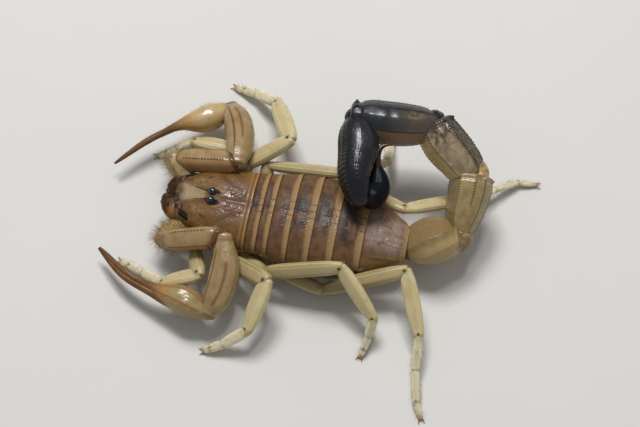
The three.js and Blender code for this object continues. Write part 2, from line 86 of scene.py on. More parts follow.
def full(value, power):
    """A sine or cosine raised to a power with its sign kept: below 1 it makes a fuller round."""
    return np.sign(value) * np.abs(value) ** power


def unit(vectors):
    """Vectors divided by their lengths."""
    return vectors / np.maximum(np.linalg.norm(vectors, axis=-1, keepdims=True), 1e-12)


def cubic(start, leave, end, arrive, t):
    """The cubic from start to end whose slopes there are `leave` and `arrive`."""
    stay, go = 2 * t**3 - 3 * t**2 + 1, 3 * t**2 - 2 * t**3
    return stay * start + (t**3 - 2 * t**2 + t) * leave + go * end + (t**3 - t**2) * arrive


def through(x, knots, values):
    """Cubic pieces through the knots. The slope at a knot is that of the chords round it."""
    knots, values = np.asarray(knots, float), np.asarray(values, float)
    slopes = np.gradient(values, knots, axis=0)
    x = np.asarray(x, float)
    at = np.clip(np.searchsorted(knots, x, side="right") - 1, 0, len(knots) - 2)
    step = knots[at + 1] - knots[at]
    t = np.clip((x - knots[at]) / step, 0, 1)
    if values.ndim > 1:
        step, t = step[..., None], t[..., None]
    return cubic(values[at], slopes[at] * step, values[at + 1], slopes[at + 1] * step, t)


def profile(*knots):
    """The smooth curve through (place, size) pairs, as a function of the place."""
    return lambda t: through(t, *zip(*knots))


def chance(column, row, seed):
    """A number from 0 to 1 for a lattice cell: the far decimals of a large sine."""
    wave = np.sin(column * 127.1 + row * 311.7 + seed * 74.7) * 43758.5453
    return wave - np.floor(wave)


def cloud(along, around, pitch, seed):
    """Soft uneven patches from 0 to 1: chances at lattice corners, blended with smooth steps."""
    gx, gy = np.broadcast_arrays(along / pitch, around / pitch)
    column, row = np.floor(gx), np.floor(gy)
    tx, ty = smooth(gx - column, 0, 1), smooth(gy - row, 0, 1)
    mix = lambda r: chance(column, r, seed) * (1 - tx) + chance(column + 1, r, seed) * tx
    return mix(row) * (1 - ty) + mix(row + 1) * ty


def grains(along, around, pitch, seed, wrap=None):
    """Round grains: each lattice cell holds one, at a place and of a size given by chance.

    The height is the circle's own, the root of 1 - (distance / radius)^2, and 0 outside."""
    gx, gy = np.broadcast_arrays(along / pitch, around / pitch)
    column, row = np.floor(gx), np.floor(gy)
    best = np.zeros(gx.shape)
    for c in (column - 1, column, column + 1):
        for r in (row - 1, row, row + 1):
            same = r % wrap if wrap else r
            px, py = (v + 0.5 + 0.5 * (chance(c, same, seed + k) - 0.5) for k, v in enumerate((c, r)))
            radius = 0.42 * (0.65 + 0.7 * chance(c, same, seed + 2))
            best = np.maximum(best, 1 - ((gx - px) ** 2 + (gy - py) ** 2) / radius**2)
    return np.sqrt(best)


# %% [markdown]
# ## A path through joints
#
# A limb is a chain of joints, and the line through its middle bends smoothly from one to the
# next. The centripetal Catmull-Rom curve passes through every joint and never loops. `frame_at`
# gives the directions along, across and upward at any distance, so that a section can be set
# square on the line. Beyond its ends the path runs straight on.

# %% The path class


class Path:
    """A smooth line through joints, in millimetres, measured by its own length."""

    def __init__(self, joints, up=UP, steps=80):
        joints = np.asarray(joints, float)
        ends = np.vstack([2 * joints[0] - joints[1], joints, 2 * joints[-1] - joints[-2]])
        t = np.linspace(0, 1, steps, endpoint=False)[:, None]
        stretches = []
        for a, b, c, d in zip(ends, ends[1:], ends[2:], ends[3:]):
            before, inside, after = (np.linalg.norm(q - p) ** 0.5 for p, q in ((a, b), (b, c), (c, d)))
            leave = inside * ((b - a) / before - (c - a) / (before + inside) + (c - b) / inside)
            arrive = inside * ((c - b) / inside - (d - b) / (inside + after) + (d - c) / after)
            stretches.append(cubic(b, leave, c, arrive, t))
        self.points = np.vstack(stretches + [joints[-1:]])
        steps_long = np.linalg.norm(np.diff(self.points, axis=0), axis=1)
        self.distance = np.concatenate([[0], np.cumsum(steps_long)])
        self.length = self.distance[-1]
        self.tangents = unit(np.gradient(self.points, self.distance, axis=0))
        self.up = np.asarray(up, float)

    def frame_at(self, s):
        """Centre, and the unit directions along, across and upward, at these distances."""
        inside = np.clip(s, 0, self.length)
        pick = lambda rows: np.stack([np.interp(inside, self.distance, r) for r in rows.T], -1)
        tangent = unit(pick(self.tangents))
        across = unit(np.cross(self.up, tangent))
        centre = pick(self.points) + (s - inside)[..., None] * tangent
        return centre, tangent, across, np.cross(tangent, across)


# %% [markdown]
# ## Surfaces
#
# A surface is a grid of points with named masks, such as `keel` or `rim`, which say where a
# finish changes. `tube` closes a grid round a limb and caps its ends, `plate` gives an open grid a
# second face underneath, like a shell plate, and `repeat` sets out many copies of one small
# shape. `sweep` works out the grid of a limb first. Its look is a function of the place, which
# gives the relief, the masks and what else changes along the limb. Each face corner also gets its
# place in a flat map, which is simply the grid laid flat.

# %% Surface builders


def grid_faces(rows, columns, closed):
    """Corner indices and flat places of the squares of a grid, row by row."""
    across = columns if closed else columns - 1
    i, j = (v.ravel() for v in np.meshgrid(np.arange(rows - 1), np.arange(across), indexing="ij"))
    corner_rows = np.stack([i, i + 1, i + 1, i], 1)
    corner_columns = np.stack([j, j, j + 1, j + 1], 1)
    places = np.stack([corner_columns / across, corner_rows / (rows - 1)], -1)
    return corner_rows * columns + corner_columns % columns, places


def normals_of(points, closed=False):
    """The outward direction at each grid point: the cross product of the grid's two slopes."""
    around = np.roll(points, -1, 1) - np.roll(points, 1, 1) if closed else np.gradient(points, axis=1)
    return unit(np.cross(np.gradient(points, axis=0), around))


def surface(points, more_points, more, faces, places, masks, closed):
    """Grid points in mm and further ones, whose masks `more` works out from the grid's."""
    wide = np.linalg.norm(np.diff(points, axis=1), axis=-1).sum(1).max() * (1 if closed else 2)
    long = np.linalg.norm(np.diff(points, axis=0), axis=-1).sum(0).max()
    whole = {name: np.broadcast_to(np.clip(m, 0, 1), points.shape[:2]) for name, m in masks.items()}
    return SimpleNamespace(
        points=np.vstack([points.reshape(-1, 3), more_points]), faces=faces, places=places, flat=(wide, long),
        masks={name: np.concatenate([m.ravel(), more(m)]) for name, m in whole.items()},
        grid=points, normals=normals_of(points, closed), along=unit(np.gradient(points, axis=0)))


def tube(points, masks):
    """Closes a grid round and caps both ends with a fan to the middle of the last ring."""
    rows, columns, _ = points.shape
    quads, places = grid_faces(rows, columns, closed=True)
    ring, count = np.arange(columns), rows * columns
    fans, fan_places = [], []
    for end, (a, b) in enumerate(((ring, ring + 1), (ring + 1, ring))):
        first, level = end * (count - columns), 0 * ring + end
        fans.append(np.stack([level + count, first + a % columns, first + b % columns], 1))
        spots = [(0 * ring + 0.5, 1.04 * level - 0.02), (a / columns, level), (b / columns, level)]
        fan_places.append(np.stack([np.stack(spot, 1) for spot in spots], 1))
    middle = lambda values: values[[0, -1]].mean(1)
    return surface(points, middle(points), middle, [quads, np.vstack(fans)], [places, np.vstack(fan_places)],
                   masks, closed=True)


def plate(form, relief, thickness, masks):
    """A form with relief along its normals, and an underside that meets it at the edges."""
    points = form + normals_of(form) * relief[..., None]
    points[..., 2] = np.maximum(points[..., 2], ON_FLOOR)
    rows, columns, _ = points.shape
    top, places = grid_faces(rows, columns, closed=False)
    i, j = np.indices((rows, columns))
    edge = np.minimum.reduce([i, rows - 1 - i, j, columns - 1 - j])
    inner = edge > 0
    under = points - normals_of(points) * (thickness * smooth(edge, 0, EDGE_CELLS))[..., None]
    under_index = np.arange(rows * columns).reshape(rows, columns)
    under_index[inner] = rows * columns + np.arange(inner.sum())
    below = under_index.ravel()[top][:, ::-1]
    both = [places * [0.5, 1], places[:, ::-1] * [0.5, 1] + [0.5, 0]]
    pick = lambda values: values[inner]
    return surface(points, under[inner], pick, [top, below], both, masks, closed=False)


def sweep(path, size, look=None, past=(0.5, 0.5), blunt=5.0, fullness=0.9, cell=CELL):
    """Carries a closed section along a path, and domes both ends.

    size(t) gives the half width and half height. A point of the section lies at
    (sin a)^fullness across and (cos a)^fullness up, times the look's shape, times the dome
    (1 - |y|^blunt)^(1/blunt), where y runs from -1 to 1 between the two poles. The look's relief
    is then added outwards, and its lean along the path, in mm. Its other entries are masks. The
    place g holds s in mm, t from 0 to 1, the degrees from the upper side, and the way round."""
    low, high = -past[0], path.length + past[1]
    fine = np.linspace(-1, 1, FINE_STEPS)[1:-1] * 0.99999
    dome_at = lambda y: (1 - np.abs(y) ** blunt) ** (1 / blunt)
    s_at = lambda y: low + (y + 1) / 2 * (high - low)
    s = s_at(fine)
    half = np.maximum(*size(np.clip(s / path.length, 0, 1)))
    walked = np.concatenate([[0], np.cumsum(np.hypot(np.diff(s), np.diff(half * dome_at(fine))))])
    y = np.interp(np.linspace(0, walked[-1], int(walked[-1] / cell) + 2), walked, fine)
    dome, s = dome_at(y)[:, None], s_at(y)
    t = np.clip(s / path.length, 0, 1)
    width, height = (np.broadcast_to(h, t.shape)[:, None] for h in size(t))
    widest = np.maximum(width, height).max()
    columns = max(16, 2 * int(np.pi * widest / cell))
    angle = (np.arange(columns) / columns * TURN)[None, :]
    g = SimpleNamespace(s=s[:, None], t=t[:, None], length=path.length, around=angle * widest,
                        turn=TURN * widest, degrees=np.degrees((angle + np.pi) % TURN - np.pi))
    g.cloud = lambda pitch, seed: cloud(g.s, g.around, pitch, seed)
    g.grains = lambda pitch, seed: grains(g.s, g.around, pitch, seed)
    masks = dict(look(g) if callable(look) else look or {})
    shape, relief, lean = masks.pop("shape", 1), masks.pop("relief", 0), masks.pop("lean", 0)
    side, top = full(np.sin(angle), fullness), full(np.cos(angle), fullness)
    centre, ahead, across, raised = (v[:, None, :] for v in path.frame_at(s))
    points = centre + (across * (width * side)[..., None] + raised * (height * top)[..., None]) * (
        dome * shape + 0 * angle)[..., None]
    outward = unit(across * (side / width)[..., None] + raised * (top / height)[..., None])
    points = points + outward * (relief * dome)[..., None] + ahead * (lean + 0 * angle)[..., None]
    return tube(points, masks)


def ball(middle, radii, look=None, cell=CELL):
    """A ball stretched to three radii: across the body, along it, and up."""
    half = np.array([0, 0.5, 0]) * radii[1]
    return sweep(Path([middle - half, middle + half]), lambda t: (radii[0] + 0 * t, radii[2] + 0 * t), look,
                 (half[1], half[1]), blunt=2.0, fullness=1.0, cell=cell)


def repeat(points, faces, roots, masks, patch=0.003):
    """Joins many copies of one small shape. `points` is (copies, corners, 3), roots their places."""
    copies, corners, _ = points.shape
    all_faces = (faces[None] + (np.arange(copies) * corners)[:, None, None]).reshape(-1, faces.shape[1])
    turn = np.arange(corners) / corners * TURN
    places = roots[:, None, :] + np.stack([np.cos(turn), np.sin(turn)], 1) * patch / 2
    flat_masks = {name: np.broadcast_to(m, (copies, corners)).ravel() for name, m in masks.items()}
    return SimpleNamespace(points=points.reshape(-1, 3), faces=[all_faces], flat=None, masks=flat_masks,
                           places=[places.reshape(-1, 2)[all_faces]])


# %% [markdown]
# ## From surfaces to a finished piece
#
# A piece is one Blender mesh made of one or more surfaces. `lay_out` puts the flat grids of its
# surfaces side by side on shelves in the unit square, like the pieces of a paper model, and the
# piece keeps that as a UV map named OFBake. The masks become point attributes, which the
# materials read by name.

# %% Make a piece
made_pieces = {}


def lay_out(surfaces):
    """Gives each flat grid its spot, a (corner, size) on a shelf in the unit square."""
    sizes = [np.array(s.flat) for s in surfaces]
    shelf = max(1.1 * np.sqrt(sum(w * h for w, h in sizes)), max(w for w, h in sizes))
    gap = 0.02 * shelf
    x, y, tallest = gap, gap, 0
    for k in sorted(range(len(sizes)), key=lambda k: -sizes[k][1]):
        width, height = sizes[k]
        if x > gap and x + width > shelf + gap:
            x, y, tallest = gap, y + tallest + gap, 0
        surfaces[k].spot = (np.array([x, y]), sizes[k])
        x, tallest = x + width + gap, max(tallest, height)
    whole = max(shelf + 2 * gap, y + tallest + gap)
    for s in surfaces:
        s.spot = tuple(part / whole for part in s.spot)


def place_in_scene(name, data):
    """A new object with this mesh, lamp or camera."""
    thing = bpy.data.objects.new(name, data)
    bpy.context.scene.collection.objects.link(thing)
    return thing


def make_piece(name, surfaces, material, replaces=()):
    """One closed mesh from surfaces, in metres, which rides with the still body."""
    placed = [s for s in surfaces if s.flat is not None]
    if placed:
        lay_out(placed)
    corners, counts, places, offset = [], [], [], 0
    for s in surfaces:
        corner, size = s.spot if s.flat is not None else (0, 1)
        for faces, flat in zip(s.faces, s.places):
            corners.append((faces + offset).ravel())
            counts.append(np.full(len(faces), faces.shape[1]))
            places.append(flat.reshape(-1, 2) * size + corner)
        offset += len(s.points)
    points = np.vstack([s.points for s in surfaces]) * MM
    points[:, 2] = np.maximum(points[:, 2], 0)
    corners, counts = np.concatenate(corners), np.concatenate(counts)
    mesh = bpy.data.meshes.new(name)
    mesh.vertices.add(len(points))
    mesh.vertices.foreach_set("co", points.astype(np.float32).ravel())
    mesh.loops.add(len(corners))
    mesh.loops.foreach_set("vertex_index", corners.astype(np.int32))
    mesh.polygons.add(len(counts))
    mesh.polygons.foreach_set("loop_start", (np.cumsum(counts) - counts).astype(np.int32))
    mesh.polygons.foreach_set("use_smooth", np.ones(len(counts), bool))
    mesh.update(calc_edges=True)
    uv = mesh.uv_layers.new(name="OFBake")
    uv.uv.foreach_set("vector", np.vstack(places).astype(np.float32).ravel())
    for mask in sorted({n for s in surfaces for n in s.masks}):
        values = np.concatenate([s.masks.get(mask, np.zeros(len(s.points))) for s in surfaces])
        mesh.attributes.new(mask, "FLOAT", "POINT").data.foreach_set("value", values.astype(np.float32))
    mesh.materials.append(material)
    piece = place_in_scene(name, mesh)
    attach(piece, "root")
    if replaces:
        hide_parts(*replaces)
    made_pieces[name] = int((counts - 2).sum())
    print(f"{name}: {len(surfaces)} surfaces, {made_pieces[name]} triangles")


# %% [markdown]
# ## Shader maths in Python
#
# A material is a network of nodes, and long networks are hard to read. `Wire` wraps one output of
# a node, and adding or multiplying wires adds the Math node that does it. `Finish` holds one
# material, and its method `add` makes any other node from a type, its settings and its inputs.

# %% The wire and finish classes


def shade(red, green, blue):
    """A colour as a painter's chart gives it, 0 to 255, turned into the linear light nodes use."""
    part = np.array([red, green, blue]) / 255
    linear = np.where(part <= 0.04045, part / 12.92, ((part + 0.055) / 1.055) ** 2.4)
    return (*[float(x) for x in linear], 1.0)


class Wire:
    """One output of a node. + - * with numbers or other wires add Math nodes."""

    def __init__(self, finish, socket):
        self.finish = finish
        self.socket = socket

    def math(self, operation, first, second):
        return self.finish.add("ShaderNodeMath", {"operation": operation}, {0: first, 1: second})

    def __add__(self, other):
        return self.math("ADD", self, other)

    def __mul__(self, other):
        return self.math("MULTIPLY", self, other)

    __radd__ = __add__
    __rmul__ = __mul__

    def step(self, low, high):
        """0 below low, 1 above high, with a smooth way between."""
        inputs = {"Value": self, "From Min": low, "From Max": high}
        return self.finish.add("ShaderNodeMapRange", {"interpolation_type": "SMOOTHSTEP"}, inputs)


class Finish:
    """A node material with a Principled shader."""

    def __init__(self, name):
        self.material = bpy.data.materials.new(name)
        self.material.use_nodes = True
        self.tree = self.material.node_tree
        self.tree.nodes.clear()
        self.shader = self.tree.nodes.new("ShaderNodeBsdfPrincipled")
        output = self.tree.nodes.new("ShaderNodeOutputMaterial")
        self.tree.links.new(self.shader.outputs[0], output.inputs["Surface"])
        self.place = self.add("ShaderNodeTexCoord", {}, {}, "Object")

    def plug(self, socket, value):
        """Sets a socket to a value, or links a wire to it."""
        if isinstance(value, Wire):
            self.tree.links.new(value.socket, socket)
        else:
            socket.default_value = value

    def add(self, kind, settings, inputs, output=0):
        """Makes a node: its settings first, then its inputs, and returns one output as a wire."""
        node = self.tree.nodes.new(kind)
        for key, value in settings.items():
            setattr(node, key, value)
        for key, value in inputs.items():
            self.plug(node.inputs[key], value)
        return Wire(self, node.outputs[output])

    def mask(self, name):
        """The piece's own attribute of that name, from 0 to 1."""
        return self.add("ShaderNodeAttribute", {"attribute_name": name}, {}, "Fac")

    def blend(self, below, above, amount):
        """One colour laid over another by an amount."""
        settings = {"data_type": "RGBA", "clamp_factor": True}
        return self.add("ShaderNodeMix", settings, {0: amount, 6: below, 7: above}, 2)

    def noise(self, pitch, detail=3.0):
        """Cloudy noise whose patches are about `pitch` millimetres across."""
        inputs = {"Vector": self.place, "Scale": 1 / (pitch * MM), "Detail": detail}
        return self.add("ShaderNodeTexNoise", {}, inputs, "Fac")

    def pits(self, pitch):
        """Distance to the nearest point of a scatter, `pitch` millimetres apart."""
        inputs = {"Vector": self.place, "Scale": 1 / (pitch * MM)}
        return self.add("ShaderNodeTexVoronoi", {"feature": "SMOOTH_F1"}, inputs, "Distance")

    def bump(self, height, depth, **under):
        """Raises the surface by height times `depth` millimetres, in the shading only."""
        inputs = {"Height": height, "Distance": depth * MM, "Strength": 1.0, **under}
        return self.add("ShaderNodeBump", {}, inputs)

    def set(self, **inputs):
        """Fills sockets of the Principled shader, named with _ for a space."""
        for name, value in inputs.items():
            self.plug(self.shader.inputs[name.replace("_", " ")], value)
        return self.material


# %% [markdown]
# ## Chitin
#
# Scorpion chitin is a clear, slightly waxy shell over a coloured layer. Its colour clouds softly,
# it is dotted with fine darker specks, and its gloss is broken up by tiny pits. Keels and joint
# rims hold more pigment, so the marks lay those colours over the base in turn, each where its mask
# is. A few marks are painted light or painted shade instead, and the masks that carry them say so.
# Thin limbs let some light through, which a little subsurface scattering gives. One function
# makes all the finishes, because only colours and gloss differ between the parts.

# %% The chitin finish
SPECK = (40, 26, 16)
DARK_LINE = (52, 32, 20)
# The deepest root brown, on the second left leg, is stain deepened by painted shade from the arm above it.
ROOT_DEEPEST = 1.35  # how much stronger the deepest brown at a leg's root is than an ordinary one
FLESH_DEPTH = (0.9 * MM, 0.55 * MM, 0.25 * MM)  # how far red, green and blue light travels inside


def chitin(name, base, clouded, marks, gloss=0.36, uneven=0.12, pitted=0.5, cloud_pitch=1.6,
           specks=0.25, glow=0.0, coat=0.0, coat_rough=0.12, shine=0.36):
    """A finish from painter's numbers. `marks` says red, green, blue and strength for each mask.

    The roughness lies round `gloss`, and a glassy coat lies where the mask `wet` is."""
    finish = Finish(name)
    colour = finish.blend(shade(*base), shade(*clouded), finish.noise(cloud_pitch, 4.0).step(0.35, 0.68))
    for mask, (*over, strength) in marks.items():
        ragged = finish.mask(mask) * (0.75 + 0.5 * finish.noise(0.35, 2.0))
        colour = finish.blend(colour, shade(*over), ragged * strength)
    dots = finish.noise(0.22, 2.0).step(0.62, 0.75)
    shagreen = finish.bump(finish.pits(0.16), 0.03 * pitted)
    return finish.set(
        Base_Color=finish.blend(colour, shade(*SPECK), dots * specks),
        Roughness=gloss - uneven / 2 + uneven * finish.noise(0.5),
        Normal=finish.bump(finish.noise(0.6, 5.0), 0.05 * pitted, Normal=shagreen),
        Coat_Weight=finish.mask("wet") * coat if coat else 0.0, Coat_Roughness=coat_rough,
        IOR=1.53, Specular_IOR_Level=shine, Subsurface_Weight=glow,
        Subsurface_Radius=FLESH_DEPTH, Subsurface_Scale=1.0,
    )


def tail_finish(name, base, clouded, inner, outer, keel, rim, **rest):
    """Tail chitin: a flank colour, and others for the inner and outer facets, keels and rims."""
    marks = dict(fade=(88, 77, 68, 0.8), inner=(*inner, 0.85), outer=(*outer, 0.85),
                 gold=(128, 104, 66, 0.7), rim=(*rim, 0.9), keel=(*keel, 0.9), dots=(*DARK_LINE, 0.9))
    return chitin(name, base, clouded, marks, **rest)


# The shield's pale colour is partly the shell's own and partly a painted highlight on wrinkle crests and
# beside the eyes.
shield_finish = chitin(
    "shield chitin", (120, 88, 44), (102, 70, 36),
    dict(mauve=(116, 86, 72, 0.85), pale=(160, 140, 106, 0.95), rim=(176, 132, 76, 0.8),
         dark=(38, 28, 26, 1.0), line=(24, 18, 20, 1.0)),
    gloss=0.3, cloud_pitch=1.2, specks=0.35, glow=0.05, coat=1.0)
# The back plates' line colour marks dark dashes, and also a painted shadow at each plate's front edge.
back_finish = chitin(
    "back plate chitin", (112, 84, 59), (92, 66, 50),
    dict(dusky=(38, 32, 36, 0.95), ash=(152, 134, 120, 0.8), side=(132, 104, 62, 0.85),
         band=(156, 125, 86, 0.9), lip=(166, 134, 92, 0.6), rim=(132, 84, 46, 0.5), line=(52, 34, 26, 0.9)),
    shine=0.11, uneven=0.16, pitted=0.7, cloud_pitch=0.9, specks=0.3, glow=0.04, coat=0.5)
# The flank skin's fold colour gives the soft skin its darker olive, and a painted shade deeper in the troughs
# of its folds.
flank_finish = chitin(
    "flank skin", (140, 126, 84), (112, 98, 66),
    dict(fold=(84, 70, 48, 0.8), plate=(168, 152, 104, 0.9), slit=(60, 44, 30, 1.0)),
    gloss=0.42, pitted=0.8, cloud_pitch=0.8, glow=0.15)
hip_finish = chitin(
    "hip chitin", (184, 166, 112), (160, 140, 90), dict(rim=(150, 96, 48, 0.7), tooth=(150, 118, 70, 0.8)),
    gloss=0.4, glow=0.2)
# The pedipalp's fair colour is a painted highlight on the right palm and painted light on the right
# trochanter, which face the lamp.
palp_finish = chitin(
    "pedipalp chitin", (162, 138, 100), (146, 120, 78),
    dict(fair=(208, 180, 132, 0.9), olive=(160, 148, 96, 0.8), amber=(172, 124, 62, 0.8),
         keel=(86, 53, 22, 0.9), rim=(88, 46, 22, 0.9), dots=(*DARK_LINE, 1.0)),
    gloss=0.24, uneven=0.08, pitted=0.3, cloud_pitch=1.3, specks=0.14, glow=0.3, shine=0.5, coat=0.7)
finger_finish = chitin(
    "finger chitin", (120, 77, 30), (96, 58, 22),
    dict(palm=(172, 135, 84, 1.0), keel=(66, 34, 12, 0.8), tip=(74, 42, 18, 0.9)),
    gloss=0.28, uneven=0.08, pitted=0.3, specks=0.1, glow=0.08, shine=0.28)
# In the leg finish, the pinkish tan for the middles of flat faces is painted shade for light passing through
# the thin limbs.
leg_finish = chitin(
    "leg chitin", (208, 196, 152), (196, 182, 134),
    dict(root=(149, 132, 86, 0.85 * ROOT_DEEPEST), foot=(230, 225, 196, 0.9), glassy=(190, 170, 130, 0.55),
         keel=(216, 206, 164, 0.6), rim=(186, 142, 90, 0.5), dot=(58, 28, 14, 1.0), claw=(120, 70, 30, 0.95)),
    gloss=0.3, uneven=0.1, pitted=0.3, cloud_pitch=2.0, specks=0.06, glow=0.4)
pale_tail = tail_finish(
    "pale tail chitin", (158, 138, 94), (138, 117, 77), (132, 108, 70), (176, 152, 102), (60, 36, 22),
    (116, 66, 34), gloss=0.27, pitted=0.45, cloud_pitch=1.1, specks=0.14, glow=0.15, shine=0.46)
# The third ring's inner facet colour is its golden tan raised well above its own as painted light, because
# that facet lies in shade.
brown_tail = tail_finish(
    "brown tail chitin", (158, 140, 112), (130, 112, 86), (224, 190, 126), (46, 38, 31), (42, 28, 22),
    (92, 52, 30), gloss=0.27, uneven=0.16, pitted=0.6, cloud_pitch=0.8, glow=0.05, shine=0.44)
dark_tail = tail_finish(
    "dark tail chitin", (21, 24, 35), (12, 14, 22), (150, 122, 92), (13, 14, 19), (10, 10, 14),
    (48, 24, 18), gloss=0.3, uneven=0.14, pitted=0.6, specks=0.0, shine=0.44, coat=1.0, coat_rough=0.3)
sting_finish = chitin(
    "sting chitin", (66, 28, 22), (40, 20, 20), dict(tip=(96, 42, 22, 0.6)),
    gloss=0.18, uneven=0.04, pitted=0.1, specks=0.0)
jaw_finish = chitin(
    "jaw chitin", (104, 62, 24), (82, 42, 14),
    dict(pale=(138, 104, 56, 0.9), dark=(34, 13, 5, 0.97), tip=(44, 20, 8, 0.95)),
    gloss=0.3, uneven=0.1, pitted=0.8, cloud_pitch=0.5, specks=0.4, shine=0.13)
bristle_finish = chitin(
    "bristle", (204, 186, 140), (176, 152, 100), dict(dusk=(96, 68, 40, 0.8)), gloss=0.4, specks=0.0)
bulb_finish = tail_finish(
    "bulb chitin", (24, 26, 31), (17, 18, 22), (26, 24, 24), (18, 18, 22), (8, 8, 10), (40, 20, 14),
    gloss=0.26, uneven=0.06, pitted=0.2, specks=0.0, shine=0.04)

eye_glass = Finish("eye")
eye_black = eye_glass.set(
    Base_Color=eye_glass.blend(shade(6, 6, 9), shade(16, 15, 20), eye_glass.noise(0.5)),
    Roughness=0.06, Coat_Weight=1.0, Coat_Roughness=0.03, IOR=1.55)
side_glass = Finish("side eye")
side_black = side_glass.set(
    Base_Color=side_glass.blend(shade(9, 7, 8), shade(20, 15, 14), side_glass.noise(0.4)),
    Roughness=0.46 + 0.1 * side_glass.noise(0.3), IOR=1.5, Specular_IOR_Level=0.12)
print("finishes:", len(bpy.data.materials))

# %% [markdown]
# ## The trunk
#
# Seen from above, the trunk is a long oval that is widest behind the middle and narrows to the
# tail. A few stations along the body say how wide and how high it is, and a smooth curve runs
# through them. Across the body, a section is a half oval over a flatter one. The shield, the back
# plates and the flanks are all cut from this one form, so that they fit each other.

# %% The trunk's form
STATIONS = np.array([
    # y, half width, sideways drift, height of the widest line, of the back and of the underside
    (-17.35, 2.7, -0.35, 4.2, 5.7, 2.8), (-15.0, 3.65, -0.32, 4.3, 6.3, 1.9),
    (-13.0, 4.6, -0.22, 4.3, 6.6, 1.5), (-10.5, 5.0, -0.1, 4.4, 6.8, 1.3),
    (-7.9, 5.2, 0.0, 4.5, 7.1, 1.3), (-5.0, 5.5, 0.0, 4.6, 7.8, 1.45),
    (-2.6, 5.9, 0.0, 4.6, 8.1, 1.35), (-0.5, 6.05, 0.0, 4.6, 8.2, -0.15),
    (2.8, 5.9, 0.0, 4.6, 8.0, -0.35), (6.05, 5.05, 0.05, 4.5, 7.1, -0.1),
    (8.6, 3.9, 0.2, 4.4, 6.6, 0.8), (11.26, 2.35, 0.46, 4.2, 6.1, 2.1),
    (12.4, 1.5, 0.46, 4.2, 5.4, 3.0),
])
DOME_FULLNESS, BELLY_FULLNESS = 0.88, 0.72
FRONT, SHIELD_REAR = -17.35, -7.9
PLATE_EDGES = [-7.9, -6.5, -5.1, -2.66, 0.0, 2.82, 6.05, 11.35]


def station(y, column):
    """One measure of the trunk at y."""
    return through(y, STATIONS[:, 0], STATIONS[:, column])


def trunk(y, angle):
    """A point of the trunk: the station's section at `angle` from the middle of the back."""
    half, drift, margin, top, under = (station(y, column) for column in range(1, 6))
    above = np.cos(angle) > 0
    power = np.where(above, DOME_FULLNESS, BELLY_FULLNESS)
    reach = np.where(above, top - margin, margin - under)
    x = drift - full(np.sin(angle), power) * half
    z = margin + full(np.cos(angle), power) * reach
    return np.stack(np.broadcast_arrays(x, y, z), -1)


def back_grid(y_from, y_to, widest, around, cell):
    """Rows along the back and columns round it, about a cell apart: y, degrees, and the form."""
    y = np.linspace(y_from, y_to, int((y_to - y_from) / cell) + 2)[:, None]
    degrees = np.linspace(-around, around, int(1.25 * np.pi * widest / cell) + 2)[None, :]
    form = trunk(y, np.radians(degrees))
    return y + 0 * degrees, np.abs(degrees) + 0 * y, form


# %% [markdown]
# ## The shield
#
# One plate covers head and chest. In life it has a low mound with the two middle eyes, a pale
# triangle in front of them framed by two dark lines, a mottled front edge, and behind the eyes a
# long furrow between patches of shiny grains. Each of these is a bell or a step laid on the form,
# and the same functions give the masks, so that the colour follows the shape. The crests of the
# shiny wrinkles and a crescent beside each eye are painted paler, as painted highlights.

# %% Shield
EYE = SimpleNamespace(aside=0.57, y=-12.75, z=7.05, radius=0.45)
HEAD = station(EYE.y, 2)  # how far the head's middle lies from x = 0
NOSE = 0.8  # how far back the front edge is rounded down
FURROW_Y = -8.5  # where a furrow crosses the shield


